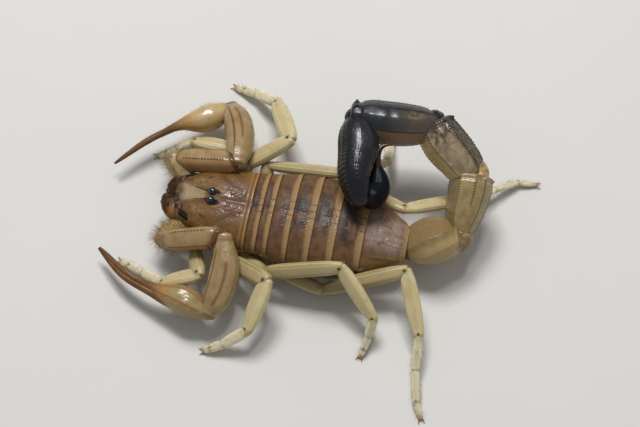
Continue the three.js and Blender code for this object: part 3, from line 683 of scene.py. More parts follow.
def shield_surface():
    """Form: the trunk with a lowered nose. Relief: mound, furrows, ridges, grains and a rim."""
    front, rear = FRONT - 0.1, SHIELD_REAR + 0.12
    y, degrees, form = back_grid(front, rear, 5.0, 92, 0.075)
    rise = np.sqrt(1 - np.clip((front + NOSE - y) / NOSE, 0, 1) ** 2)
    middle, margin = station(y, 2), station(y, 3)
    form[..., 2] = margin + (form[..., 2] - margin) * (0.5 + 0.5 * rise)
    form[..., 0] = middle + (form[..., 0] - middle) * (0.9 + 0.1 * rise)
    x = form[..., 0] - middle
    form[..., 1] += 0.11 * np.clip(x, -2.4, 2.4) * smooth(y, -14.6, -16.8)
    ahead = np.clip((EYE.y - y) / 2.9, 0, 1.4)
    x = x + 0.2 * ahead
    side = np.abs(x)
    edge = np.minimum(rear - y, y - front)
    top = smooth(degrees, 92, 70)
    mound = ridge(x, 0.95) * ridge(y - EYE.y - 0.1, 1.25)
    # two dark lines start at the eyes and run forward, bending outwards
    line_x = 0.52 + 0.5 * ahead**1.6
    brow = ridge(side - line_x - 0.12, 0.26) * between(-y, 12.9, 13.4, 15.8, 16.6)
    furrow = ridge(x, 0.3 + 0.3 * smooth(y, -9.4, -8.2)) * smooth(y, -11.9, -11.0)
    lobe = ridge(side - 0.95 - 0.35 * smooth(y, -10.4, -8.6), 0.55) * between(y, -11.4, -10.4, -8.9, -8.4)
    slant = ridge(side - (1.5 + 0.75 * (-9.4 - y)), 0.5) * between(side, 1.2, 2.2, 3.2, 4.4)
    rear_lip = ridge(y - SHIELD_REAR + 0.05, 0.15)
    side_lip = ridge(degrees - 87, 3.0)
    front_lip = ridge(y - FRONT - 0.12, 0.16)
    wrinkles = np.sin(y * 5.0 + 13.0 * cloud(y, x, 0.6, 14)) * lobe
    coarse = 0.1 + 0.15 * smooth(side, 2.6, 3.8) * smooth(y, -15, -12) + 0.5 * lobe
    relief = (0.42 * mound - 0.2 * ridge(x, 0.17) * mound + 0.09 * brow - 0.14 * furrow - 0.1 * slant
              - 0.08 * ridge(y - FURROW_Y, 0.18) * top + 0.07 * rear_lip + 0.05 * side_lip + 0.05 * front_lip
              + 0.12 * lobe + 0.12 * wrinkles + 0.05 * grains(y, x, 0.3, 3) * coarse * smooth(edge, 0.1, 0.5)
              + 0.014 * grains(y, x, 0.19, 9) - 0.08 * ridge(side, 1.3) * ridge(y + 15.4, 1.2))
    mottle = cloud(y, x, 0.34, 5) * 0.55 + cloud(y, x, 0.16, 6) * 0.45
    spotted = smooth(mottle, 0.42, 0.62)
    front_band = smooth(-y, 16.0, 16.5) * smooth(side, 2.8, 2.3)
    corner_band = ridge(side - 1.75, 0.42) * smooth(-y, 15.0, 15.5)
    from_eye = np.hypot((side - EYE.aside - 0.03) / 0.47, (y - EYE.y - 0.16) / 0.86)
    dots = between(-y, 14.7, 15.0, 16.4, 16.9) * smooth(np.sin(y * TURN / 0.36), -0.6, 0.2)
    streak = ridge(side - line_x, 0.09 + 0.07 * smooth(-y, 14.4, 13.0))
    streak = streak * np.clip(between(-y, 12.8, 13.0, 14.7, 15.1) + 0.7 * dots, 0, 1)
    dash = ridge(side - (2.6 - 0.45 * (-y - 13.5)), 0.14) * ridge(y + 13.5, 0.4)
    corner_y = y + 15.95
    corner_width = 0.26 * np.sqrt(np.clip(1 - (corner_y / 0.8) ** 2, 0.02, 1))
    corner = ridge(side - 2.62 - 0.42 * corner_y, corner_width) * (np.abs(corner_y) < 0.78)
    hollow = smooth(side / (0.1 + line_x), 1.15, 0.75) * between(-y, 13.3, 13.8, 16.2, 16.9)
    beside = ridge(side - 1.9, 0.6) * ridge(y + 14.2, 0.9)
    # A pale crescent beside each eye, painted as a highlight on the mound's edge.
    eye_glint_crescent = ridge(from_eye - 1.35, 0.16) * smooth(side, 0.65, 1.0) * smooth(y, -12.9, -12.4)
    # The pale mask holds the pale triangle and patches, and also painted highlights: the crescent beside each
    # eye and the crests of the wrinkles.
    return plate(form, relief, 0.35, dict(
        pale=hollow * (0.62 + 0.4 * mottle) + 0.45 * beside * (1 - spotted) + 0.8 * eye_glint_crescent
        + 0.6 * smooth(wrinkles, 0.45, 0.9),
        mauve=smooth(y, -12.2, -10.8) * smooth(side, 3.2, 1.7) + 0.45 * (front_band + corner_band),
        rim=0.9 * rear_lip + 0.5 * side_lip + 0.6 * ridge(y - FURROW_Y, 0.12) * top,
        dark=(0.7 * front_band + 0.5 * corner_band) * spotted + 0.35 * furrow * (1 - lobe)
        + 0.5 * front_lip + 0.2 * slant,
        line=streak + 0.85 * dash + corner + smooth(from_eye, 1.15, 0.75),
        wet=lobe * (1.0 - 0.5 * smooth(x, -0.2, 0.4))))


make_piece("shield", [shield_surface()], shield_finish, ["carapace"])

# %% [markdown]
# ## Eyes
#
# Scorpions have two middle eyes on the mound and a row of smaller ones at each front corner of
# the shield. The middle ones are smooth black domes, so a stretched ball with a glassy finish is
# enough. The side eyes are tiny and nearly touch, so each row is one short bar with three bumps.

# %% Eyes
for side_name, sign in SIDES.items():
    radii = EYE.radius * np.array([1, 1.1, 0.95])
    globe = ball([HEAD + EYE.aside * sign, EYE.y, EYE.z], radii, cell=0.045)
    make_piece(f"{side_name}_eye", [globe], eye_black, [f"eye_{side_name}"])

SIDE_EYES = [(-16.5, 50.0), (-16.1, 51.5), (-15.65, 54.0), (-15.25, 57.5)]  # y, degrees from the top
side_eyes = []
for sign in SIDES.values():
    spots = [trunk(y, np.radians(-sign * degrees)) + [0, 0.1 * sign, -0.03] for y, degrees in SIDE_EYES]
    side_eyes.append(sweep(
        Path(spots), lambda t: (0.25 - 0.05 * t, 0.2 - 0.03 * t), past=(0.08, 0.08), blunt=3, fullness=1.0,
        cell=0.05, look=lambda g: dict(relief=0.025 * np.abs(np.sin(np.pi * 3 * g.t)))))
make_piece("side_eyes", side_eyes, side_black)

# %% [markdown]
# ## Back plates
#
# Seven plates cover the back, and each laps over the next, like roof tiles. So a plate starts a
# little below the surface, under its neighbour, and its rear edge ends in a raised, paler lip.
# Grains grow coarser towards the lip, and the last plate has four short keels and shiny wrinkles.
# The dark mottling along the middle of the back is a mask of soft clouds.

# %% Back plates
LAP = 0.35
BAND_WIDTHS = [0.36, 0.38, 0.46, 0.58, 0.62, 0.58, 0.42]
PLATE_DUSK = [1.0, 1.0, 0.8, 1.15, 1.0, 1.35, 0.2]


def back_plate(number):
    """Form: a strip of the trunk that rises from front to rear. The lip is a bell at the rear."""
    front, rear = PLATE_EDGES[number - 1 : number + 1]
    last = number == 7
    reach, around = (0.0, 90) if last else (LAP * 0.4, 80)
    y, degrees, form = back_grid(front - 0.05, rear + reach, 6.0, around, 0.085)
    x = form[..., 0] - station(y, 2)
    side = np.abs(x)
    t = (y - front) / (rear - front)
    to_rear = rear - y
    rough = smooth(t, 0.15, 0.8) * (0.45 + 0.55 * ridge(side, 2.4))
    keel = ridge(x, 0.14) * between(t, 0.25, 0.5, 0.85, 0.95)
    relief = (0.05 * ridge(to_rear - 0.02, 0.14) + 0.05 * keel - 0.16 * smooth(t, 0.28, 0.0)
              + 0.06 * cloud(y, x, 0.7, 30 + number) * ridge(side, 2.6) * smooth(t, 0.1, 0.4)
              + (0.02 if last else 0.04) * grains(y, x, 0.3, 20 + number) * rough
              + 0.012 * grains(y, x, 0.18, 40 + number) - 0.03 * ridge(to_rear - 0.75, 0.12))
    if last:
        pair = ridge(side - 1.25 - 0.04 * to_rear, 0.13) + ridge(side - 2.35 - 0.28 * to_rear, 0.14)
        beaded = pair * (0.03 + 0.06 * np.abs(np.sin(y * np.pi / 0.34))) * between(t, 0.18, 0.3, 0.86, 0.95)
        creased = cloud(y, x, 0.62, 37) * ridge(x - 0.4, 1.5) * between(t, 0.3, 0.5, 0.8, 0.95)
        relief = relief + beaded + 0.16 * creased
    mottle = 0.6 * cloud(y, x, 0.9, 60 + number) + 0.4 * cloud(y, x, 0.35, 70 + number)
    width = BAND_WIDTHS[number - 1] * (1 + 0.35 * ridge(side - 2.5, 1.6)) * (1 + 0.25 * (mottle - 0.5))
    outwards = smooth(degrees, 55, 78)
    band = smooth(to_rear, width * 1.3, width * 0.55) * (0.8 + 0.3 * mottle) * (1 - 0.35 * outwards)
    dashes = sum(ridge(x - at, 0.055) for at in (-0.85, 0.02, 0.9)) * smooth(to_rear, width + 0.15, width)
    dusky = smooth(side, 3.9, 1.2) * smooth(mottle, 0.28, 0.66) * smooth(t, 0.0, 0.2)
    # On the last plate the side colour reaches higher and is stronger. It gives the olive flanks, and also
    # painted light on lower sides that lie in shade.
    flank = smooth(degrees, 36, 70) * 1.2 if last else smooth(degrees, 50, 78) * 0.75
    seam = 0.3 * ridge(to_rear - width * 1.2, 0.1)
    if last:
        seam = 0.4 * ridge(degrees - 90, 4) + 0.12 * smooth(to_rear, 0.5, 0.1)
    glint = ridge(x - 0.9, 1.1) * smooth(t, 0.2, 0.5) * smooth(mottle, 0.4, 0.6)
    return plate(form, relief, 0.3, dict(
        dusky=dusky * PLATE_DUSK[number - 1],
        side=flank * (0.7 + 0.5 * mottle),
        band=band + last * smooth(to_rear, 0.62, 0.36),
        ash=(0.15 + 0.75 * last) * smooth(side, 3.4, 1.4) * (0.35 + 0.65 * smooth(mottle, 0.2, 0.6)),
        wet=glint * (1.6 if last else 0.45),
        lip=smooth(to_rear, 0.24, 0.14) * (1 - 0.4 * outwards),
        rim=(0.15 if last else 0.5) * ridge(to_rear + 0.02, 0.06) + seam,
        # The dashes are the plate's own dark marks. The darker front edge, where the plate slips under its
        # neighbour's lip, is a painted shadow.
        line=0.9 * dashes * (not last) + 0.45 * smooth(t, 0.07, 0.0)))


for number in range(1, 8):
    make_piece(f"back_plate_{number}", [back_plate(number)], back_finish, [f"tergite_{number}"])

# %% [markdown]
# ## Flanks and belly
#
# Between the plates above and below runs soft skin, which folds like a bellows and lets the
# animal swell when it has eaten. It is modelled as one sheet round the underside, with folds
# along the body that deepen towards the plates. Five belly plates are thickenings of it, with a
# breathing slit on each side of the first four. Where the animal rests, the sheet is laid level
# with the floor.

# %% Flanks and belly
BELLY_PLATES = [-2.2, 0.7, 3.4, 6.2, 8.9, 11.2]
BELLY_CELL = 0.1


def belly_surface():
    """Form: the lower trunk. Relief: folds as sine waves by angle, and raised belly plates."""
    y = np.linspace(-7.8, 11.2, int(19.0 / BELLY_CELL))[:, None]
    angle = np.radians(np.linspace(77, 283, int(17.6 / BELLY_CELL)))[None, :]
    form = trunk(y, angle)
    y = y + 0 * form[..., 0]
    degrees = np.abs(np.degrees(angle) - 180)
    soft = smooth(degrees, 62, 72) + 0 * y
    wave = cloud(y, degrees / 10, 0.8, 81) * 1.6 + cloud(y, degrees / 6, 0.35, 84) * 0.7
    folds = np.sin(np.radians(degrees) * 30 + wave * 3.2 + 1.1 * np.sin(y * 1.3))
    cross = np.sin(y * TURN / 1.3 + 3.0 * cloud(y, degrees / 8, 0.7, 82))
    plates, slits, seam = 0, 0, 0
    for k, (front, rear) in enumerate(zip(BELLY_PLATES, BELLY_PLATES[1:])):
        plates = plates + between(y, front, front + 0.15, rear - 0.15, rear) * (1 - soft)
        seam = seam + ridge(y - rear, 0.14) * (1 - soft)
        if k < 4:
            slits = slits + ridge(y - (front + rear) / 2, 0.42) * ridge(degrees - 44, 1.6)
    relief = (soft * (0.09 * folds + 0.06 * cross + 0.03 * grains(y, degrees / 12, 0.26, 85) - 0.02)
              + 0.1 * plates - 0.1 * slits + 0.012 * grains(y, form[..., 0], 0.22, 83)
              - 0.3 * smooth(y, -5.6, -7.8) - 0.12 * ridge(degrees - 103, 4)
              - 0.4 * (1 - soft) * smooth(y, -4.6, -6.2))
    # Darker olive over the soft skin, and darker still in the troughs of the folds and ripples: painted shade
    # in the creases.
    fold = soft * (0.65 - 0.5 * folds - 0.15 * cross)
    return plate(form, relief, 0.3, dict(fold=fold, plate=plates, slit=slits + 0.6 * seam))


make_piece("belly_skin", [belly_surface()], flank_finish, ["belly"])

# %% [markdown]
# ## Hips and breastbone
#
# The first piece of every leg, the hip or coxa, is fixed to the chest and meets its neighbours on
# the midline, so all eight make one rigid floor under the shield. Each is a flattened tube, laid
# on a strip of skin that closes the chest, and stretched balls make the breastbone and its lids.

# %% Hips
HIPS = np.array([[4.3, -13.4, 3.2], [4.7, -10.9, 3.1], [5.3, -7.3, 2.9], [5.9, -3.6, 2.6]])
COXA_ROOTS = np.array([[1.2, -14.2, 2.6], [1.2, -12.0, 2.5], [1.2, -9.6, 2.4], [1.2, -8.0, 2.3]])
PALP_COXA_ROOT = [1.4, -14.4, 3.0]
CHEST_CELL = 0.13


def mirrored(place, sign):
    """A place on the side of the body that sign tells."""
    return np.asarray(place, float) * [sign, 1, 1]


def scaled(grow, half, height):
    """A limb's size(t): both half sizes times the same curve."""
    return lambda t: (half * grow(t), height * grow(t))


def chest_surface():
    """The soft skin between the hips and the shield, a strip of the lower trunk."""
    y = np.linspace(FRONT + 0.35, -4.9, int(12 / CHEST_CELL))[:, None]
    angle = np.radians(np.linspace(82, 278, int(15 / CHEST_CELL)))[None, :]
    form = trunk(y, angle)
    return plate(form, 0.05 * np.sin(y * 7 + 2 * cloud(y, form[..., 0], 0.8, 91)) - 0.25, 0.3, {})


def coxa(root, hip, half, height, olive=0):
    """A hip: a flattened tube, thickest in the middle, whose edges carry a faint amber keel."""
    def look(g):
        keel = ridge(g.degrees - 60, 9) + ridge(g.degrees + 60, 9)
        relief = 0.05 * keel + 0.02 * g.grains(0.25, 7)
        return dict(relief=relief, olive=1) if olive else dict(
            relief=relief, rim=0.6 * keel + smooth(g.t, 0.86, 0.97))

    grow = lambda t: 0.85 + 0.15 * np.sin(np.pi * np.clip(t, 0, 1)) ** 0.8
    return sweep(Path([root, hip]), scaled(grow, half, height), look, (0.7, 0.45), blunt=4, cell=0.14)


hips = [chest_surface()]
for sign in SIDES.values():
    ends = zip(mirrored(COXA_ROOTS, sign), mirrored(HIPS, sign))
    hips += [coxa(root, hip, 1.15, 1.0) for root, hip in ends]
hips.append(ball([0, -10.9, 1.75], (0.75, 1.3, 0.5), cell=0.12))  # breastbone
hips += [ball([0.62 * s, -8.3, 1.62], (0.66, 0.85, 0.4), cell=0.12) for s in SIDES.values()]  # lids

# %% [markdown]
# ## Combs
#
# The combs behind the hips are a scorpion's feelers for the ground: a jointed spine with a row of
# flat teeth. The teeth differ only in place and length, so one formula makes them all at once.

# %% Combs
COMB = SimpleNamespace(inner=[0.8, -4.1, 0.85], outer=[5.0, -1.9, 0.75], teeth=26)
TOOTH_RINGS, TOOTH_SIDES = 6, 8
TOOTH_CAP = np.array([[0, 1, 2, 3], [0, 3, 4, 5], [0, 5, 6, 7]])


def comb_surfaces(sign):
    """The spine is a flat tube. Each tooth is a bent drop with six rings of eight points."""
    inner, outer = mirrored(COMB.inner, sign), mirrored(COMB.outer, sign)
    spine = sweep(Path([inner, outer]), lambda t: (0.42 - 0.12 * t, 0.2 - 0.05 * t), past=(0.3, 0.3),
                  cell=0.09, look=lambda g: dict(relief=0.03 * np.cos(g.s * TURN / 0.85)))
    t = np.linspace(0.06, 0.98, COMB.teeth)[:, None, None, None]
    k = np.linspace(0, 1, TOOTH_RINGS)[None, :, None, None]
    a = (np.arange(TOOTH_SIDES) / TOOTH_SIDES * TURN)[None, None, :, None]
    ahead = unit(outer - inner)
    down = np.cross(ahead, UP)
    down = unit(down * np.sign(down[1]))
    roundness = np.sqrt(np.clip(1 - (2 * k - 1) ** 2 * 0.995, 0, 1)) * (0.75 + 0.35 * k)
    points = (inner + (outer - inner) * t + [0, 0.12, 0] + down * 0.78 * (1 - 0.35 * t) * k - 0.12 * UP * k**2
              + ahead * 0.075 * roundness * np.cos(a) + UP * 0.07 * roundness * np.sin(a))
    turn = -1 if sign > 0 else 1
    round_it = grid_faces(TOOTH_RINGS, TOOTH_SIDES, closed=True)[0][:, ::turn]
    last_ring = (TOOTH_RINGS - 1) * TOOTH_SIDES
    faces = np.vstack([round_it, TOOTH_CAP[:, ::-turn], (TOOTH_CAP + last_ring)[:, ::turn]])
    roots = np.stack([0.2 + 0.6 * t.ravel(), np.full(COMB.teeth, 0.97)], 1)
    return [spine, repeat(points.reshape(COMB.teeth, -1, 3), faces, roots, dict(tooth=1.0), patch=0.02)]


make_piece("hips", hips, hip_finish, ["coxae"])
for side_name, sign in SIDES.items():
    make_piece(f"comb_{side_name}", comb_surfaces(sign), hip_finish, [f"pecten_{side_name}"])

# %% [markdown]
# ## Jaws
#
# The chelicerae are a pair of short, swollen hands under the front edge of the shield. Each ends
# in two hooked fingers, one fixed and one that bites against it, under a rounded lip. They are
# amber behind and dark in front, with a net of mottling between, and the left one leads a little.

# %% Jaws
def jaw_surfaces(sign):
    """A swollen tube for the hand, a ball for the lip, and two tapering hooks for the fingers."""
    middle = HEAD - 0.1
    lead, apart, bend, end = (0.34, 0.34, 1.3, 1.0) if sign > 0 else (0.0, 0.86, 1.45, 1.2)
    place = lambda x, y, z: [middle + x * sign, y, z]

    def look(g):
        net = smooth(np.abs(g.cloud(0.3, 11) - 0.5), 0.0, 0.14)
        ahead = smooth(g.t + 0.4 * (g.cloud(0.5, 13) - 0.5), 0.42, 0.7)
        return dict(relief=0.02 * g.grains(0.3, 12) + 0.05 * g.cloud(0.5, 15) * ahead, pale=0.9,
                    dark=(1 - net) * (0.2 + 0.5 * ahead) * smooth(g.t, 0.25, 0.5) + 0.85 * ahead)

    wide, high = profile((0, 1.4), (0.35, 1.5), (1, end)), profile((0, 0.95), (0.4, 1.1), (1, 0.9))
    hand_line = Path([place(1.65, -16.2, 3.9), place(bend, -17.2, 4.1), place(apart, -18.2 - lead, 4.05)])
    made = [sweep(hand_line, lambda t: (wide(t), high(t)), look, (0.3, 0.4), blunt=3.2, cell=0.06),
            ball([middle + 0.15 * sign, -17.95 - lead, 3.75], (0.8, 0.95, 0.75), cell=0.08,
                 look=lambda g: dict(dark=0.75 + 0.25 * g.cloud(0.3, 16)))]
    for inner, length in ((0.2, 0.2), (-0.3, 0.3)):
        line = Path([place(apart - inner, -18.2 - lead, 3.85),
                     place(apart - 0.1 - inner * 1.2, -18.65 - lead - 0.2 * length, 3.5),
                     place(apart - 0.2 - inner * 0.4, -18.7 - lead - 0.3 * length, 3.0)])
        made.append(sweep(line, lambda t: (0.42 - 0.32 * t, 0.42 - 0.3 * t), past=(0.3, 0.06), blunt=3,
                          cell=0.05, look=lambda g: dict(tip=smooth(g.t, 0.15, 0.7), dark=0.6)))
    return made


for side_name, sign in SIDES.items():
    make_piece(f"jaw_{side_name}", jaw_surfaces(sign), jaw_finish, [f"chelicera_{side_name}"])

# %% [markdown]
# ## Legs
#
# A leg has seven pieces: the hip above, a short trochanter, a femur and a patella that are flat
# from side to side, a slim tibia, and a foot of two pieces with a pair of claws. Every piece is a
# sweep between two joints, a little narrower at its ends, with faint amber keels. A table gives
# the joints of the pose, and one loop makes the eight legs. A small dark dot on each side of a
# joint shows where the next piece turns.

# %% Leg joints and sizes
LEG_JOINTS = {
    # for each leg: end of the trochanter, knee, end of the patella, of the tibia, of the first foot
    # piece, and the sole
    "left": [
        [(5.8, -13.7, 3.5), (9.2, -12.25, 4.7), (10.05, -16.8, 2.0), (8.9, -19.6, 1.1), (8.1, -21.6, 0.6),
         (7.7, -22.8, 0.22)],
        [(6.4, -9.1, 3.75), (8.95, -4.0, 6.3), (14.5, -5.3, 3.4), (16.0, -7.9, 1.4), (16.6, -9.4, 0.7),
         (16.9, -10.2, 0.22)],
        [(7.1, -4.9, 4.1), (5.85, 4.25, 7.0), (10.1, 9.05, 3.5), (11.7, 8.8, 1.7), (13.1, 8.5, 0.7),
         (13.9, 8.3, 0.22)],
        [(7.5, 2.2, 2.9), (4.2, 11.8, 5.7), (11.0, 14.7, 3.2), (14.7, 15.0, 1.6), (18.3, 15.8, 0.65),
         (20.0, 16.6, 0.22)],
    ],
    "right": [
        [(-5.8, -13.5, 3.1), (-8.8, -12.35, 2.7), (-9.1, -17.4, 2.4), (-8.3, -19.4, 1.2), (-7.6, -20.8, 0.6),
         (-7.2, -21.8, 0.22)],
        [(-6.6, -9.9, 3.9), (-9.8, -5.1, 6.2), (-15.9, -8.2, 3.5), (-17.6, -11.1, 1.5), (-18.3, -13.0, 0.7),
         (-18.7, -14.3, 0.22)],
        [(-6.9, -7.4, 3.9), (-6.5, 2.4, 6.4), (-10.5, 6.9, 3.4), (-14.0, 6.8, 1.5), (-16.4, 6.5, 0.65),
         (-17.6, 6.3, 0.22)],
        [(-7.3, 0.4, 3.0), (-3.8, 10.25, 5.3), (-7.9, 17.7, 2.9), (-10.3, 20.6, 1.6), (-12.3, 23.3, 0.65),
         (-12.6, 25.6, 0.22)],
    ],
}
LEG_WIDTHS = [1.0, 1.18, 0.98, 0.98]
LOWEST_CLAW = 0.07  # height of a claw's middle line where it lies on the floor
# How brown each leg is at its root. Part is the legs' own stain, and the rest is painted shade: deepest on
# the second left leg under the arm, and lighter on the right legs, which face the lamp.
ROOT_STAIN_AND_SHADE = {"left": [1.0, ROOT_DEEPEST, 1.0, 1.2], "right": [1.0, 0.3, 0.8, 1.0]}
DOT_RADIUS = {"femur": 0.17, "patella": 0.16, "first_foot": 0.1}
NO_DOT = 0.01
CLAW_STEPS = [(-0.1, 0.1, 0), (0.28, 0.27, 0.12), (0.58, 0.37, 0.01), (0.68, 0.39, -0.1)]  # ahead, across, up
# name: half width in the leg's plane, half thickness, how square the section is, and knots (t, size)
LEG_PARTS = {
    "trochanter": (0.85, 0.8, 0.9, [(0, 0.85), (0.45, 1.0), (1, 0.9)]),
    "femur": (0.94, 0.68, 0.86, [(0, 0.74), (0.2, 0.93), (0.55, 1.0), (0.85, 0.94), (1, 0.84)]),
    "patella": (0.94, 0.66, 0.86, [(0, 0.8), (0.2, 0.98), (0.5, 1.02), (0.8, 0.88), (1, 0.68)]),
    "tibia": (0.58, 0.5, 0.9, [(0, 0.94), (0.25, 1.0), (0.8, 0.95), (1, 0.88)]),
    "first_foot": (0.48, 0.42, 0.92, [(0, 0.95), (0.3, 1.0), (1, 0.92)]),
    "last_foot": (0.4, 0.34, 0.92, [(0, 0.95), (0.4, 1.0), (1, 0.7)]),
}


def leg_part(joints, kind, widen, hinge, stain_and_shade):
    """One piece of a leg, and its line. Keels run along its edges and faces, and its far end has an
    amber rim. Its last argument says how brown the leg is at its root: its own stain, deepened on some legs
    by painted shade."""
    half, height, power, knots = LEG_PARTS[kind]
    line = Path(joints, up=hinge)
    big, foot = kind in ("femur", "patella"), kind in ("first_foot", "last_foot")

    def look(g):
        off = np.abs(g.degrees)
        span = between(g.t, 0.04, 0.14, 0.86, 0.97)
        keel = sum(ridge(off - k, 6) for k in ((62, 90, 118) if big else (90,))) * span
        face = (ridge(g.degrees - 24, 6) + ridge(off - 152, 6)) * span * big
        rim = ridge(g.s - g.length, 0.2) + 0.6 * ridge(g.s, 0.2)
        beads = 0.6 + 0.4 * np.abs(np.sin(g.s * np.pi / 0.27))
        from_face = np.radians(np.minimum(off, 180 - off)) * half
        root = smooth(g.t, 1.3, 0.6) * stain_and_shade if kind == "femur" else kind == "trochanter"
        return dict(
            relief=0.04 * keel * beads + 0.03 * face + 0.02 * rim + 0.006 * g.grains(0.3, 31)
            - 0.04 * ridge(off - 8, 14) * span * big,
            keel=0.8 * keel + 0.5 * face, rim=rim, root=root / ROOT_DEEPEST,
            # Painted shade: the middle of each flat face is darker and pinker, where less light comes through
            # than at the thin edges.
            glassy=(ridge(off - 8, 22) + ridge(off - 172, 22)) * span,
            dot=1.6 * ridge(np.hypot(g.s - g.length + 0.15, from_face), DOT_RADIUS.get(kind, NO_DOT)),
            foot=smooth(g.t, 0.0, 0.3) if kind == "tibia" else foot,
            claw=0.5 * smooth(g.t, 0.5, 1.0) * (kind == "last_foot"))

    return line, sweep(line, scaled(profile(*knots), half * widen, height * widen), look,
                       (0.3 * half, 0.36 * half), blunt=8 if big else 7, fullness=power, cell=0.095)


def claws(line):
    """Two hooked claws at the end of the last foot piece."""
    centre, tangent, _, _ = (v[0] for v in line.frame_at(np.array([line.length])))
    level = unit(np.cross(UP, tangent))
    made = []
    for s in (1, -1):
        hook = Path([centre + tangent * ahead + level * across * s + UP * up
                     for ahead, across, up in CLAW_STEPS])
        hook.points[:, 2] = np.maximum(hook.points[:, 2], LOWEST_CLAW)
        made.append(sweep(hook, lambda t: (0.085 - 0.06 * t, 0.09 - 0.062 * t), dict(claw=1), (0.05, 0.03),
                          blunt=3, cell=0.045))
    return made


def leg(side_name, number):
    """All surfaces of one leg, from the trochanter to its claws. Its hinge axes point up."""
    sign = SIDES[side_name]
    chain = [mirrored(HIPS[number], sign), *map(np.array, LEG_JOINTS[side_name][number])]
    widen = LEG_WIDTHS[number]
    knee = unit(np.cross(chain[2] - chain[1], chain[3] - chain[2]))
    knee = knee if knee[2] >= 0 else -knee
    surfaces = []
    for kind, start, end in zip(LEG_PARTS, chain, chain[1:]):
        hinge = UP if kind == "trochanter" else knee
        line, part = leg_part([start, end], kind, widen, hinge, ROOT_STAIN_AND_SHADE[side_name][number])
        surfaces.append(part)
        if kind in ("trochanter", "femur", "patella"):
            core = LEG_PARTS[kind][1] * LEG_PARTS[kind][3][-1][1] * widen * 0.8
            surfaces.append(ball(end, (core,) * 3, dict(rim=0.35), cell=0.14))
    return surfaces + claws(line)


legs = {}
for side_name in SIDES:
    for number in range(4):
        name = f"leg_{side_name}_{number + 1}"
        legs[name] = leg(side_name, number)
        nodes = [f"{name}_{part}" for part in ("femur", "patella", "foot")]
        make_piece(name, legs[name], leg_finish, nodes)

# %% [markdown]
# ## Pedipalps
#
# The arms that carry the claws have a short hairy trochanter, a square femur, a swollen patella,
# a smooth round hand and two long fingers. Femur and patella are square tubes with beaded dark
# keels on their corners. The femur is rolled outwards and ends obliquely. Wrinkled balls of skin
# fill the elbow and the wrist. The hand and its fixed finger are one shell, so they are one sweep
# that swells and then tapers. The other finger is a second sweep that lies against the first.

# %% Pedipalps
PALP_JOINTS = {
    # root, end of the trochanter, elbow, wrist, parting of the fingers, their middle and their tip
    "left": [(3.2, -16.6, 3.4), (5.6, -17.25, 4.35), (5.0, -10.25, 7.0), (13.5, -10.25, 3.7),
             (11.95, -16.85, 3.7), (10.3, -21.3, 3.2), (7.4, -25.25, 2.5)],
    "right": [(-3.5, -16.9, 3.5), (-5.1, -18.7, 4.2), (-5.5, -10.75, 6.6), (-14.1, -13.7, 3.5),
              (-10.35, -19.5, 3.5), (-7.65, -23.0, 3.0), (-4.1, -26.3, 2.5)],
}
# name: half width, half height, fullness, roll outwards in degrees, how far it bows out at a third
# and at two thirds, knots (t, size), and keels as (degrees on the left arm, on the right arm,
# strength, from t, to t, how dotted)
ARM_PARTS = {
    "trochanter": (1.4, 1.2, 0.84, 0, (0.0, 0.0), [(0, 0.85), (0.5, 1.0), (0.85, 0.98), (1, 0.85)],
                   [(40, 40, 0.5, 0.1, 0.9, 0.5), (-40, -40, 0.5, 0.1, 0.9, 0.5)]),
    "femur": (1.36, 1.3, 0.7, 21, (0.1, 0.15), [(0, 0.74), (0.12, 0.9), (0.5, 1.0), (0.85, 0.98), (1, 0.88)],
              [(34, 36, 1.0, 0.1, 0.9, 1.0), (-36, -22, 1.0, 0.03, 0.95, 0.1),
               (138, 138, 0.6, 0.05, 0.95, 0.3), (-138, -138, 0.6, 0.05, 0.95, 0.3)]),
    "patella": (1.76, 1.5, 0.8, 0, (0.8, 0.8),
                [(0, 0.64), (0.12, 0.82), (0.35, 0.98), (0.6, 1.02), (0.8, 0.9), (1, 0.56)],
                [(-46, -16, 1.0, 0.08, 0.97, 0.3), (5, 8, 0.7, 0.25, 0.9, 0.3),
                 (50, 50, 0.35, 0.06, 0.8, 0.2), (100, 100, 0.5, 0.06, 0.9, 0.3),
                 (150, 150, 0.6, 0.06, 0.9, 0.3), (-130, -130, 0.6, 0.06, 0.9, 0.3)]),
}
BOWS_AT = (0.35, 0.7)  # where a limb's line is pushed aside, as shares of its length
HAND_SIZE = profile((0, 0.7), (0.05, 1.15), (0.15, 1.72), (0.25, 1.62), (0.33, 1.2), (0.41, 0.74),
                    (0.5, 0.46), (0.7, 0.38), (0.9, 0.28), (1.0, 0.2))
HAND_KEELS = {-134: 0.7, -84: 0.8, -26: 1.0, 26: 1.0, 88: 0.9, 141: 0.7}  # degrees: strength
FINGER_SIZE = profile((0, 0.3), (0.2, 0.5), (0.4, 0.44), (0.7, 0.36), (1, 0.2))
FINGER_SPREAD = {"left": (0.25, 0.08), "right": (0.12, 0.2)}  # aside and upward


def aside(start, end, amount, sign):
    """A push to the outside of the body, square to the line from start to end."""
    return unit(np.cross(end - start, UP)) * amount * sign


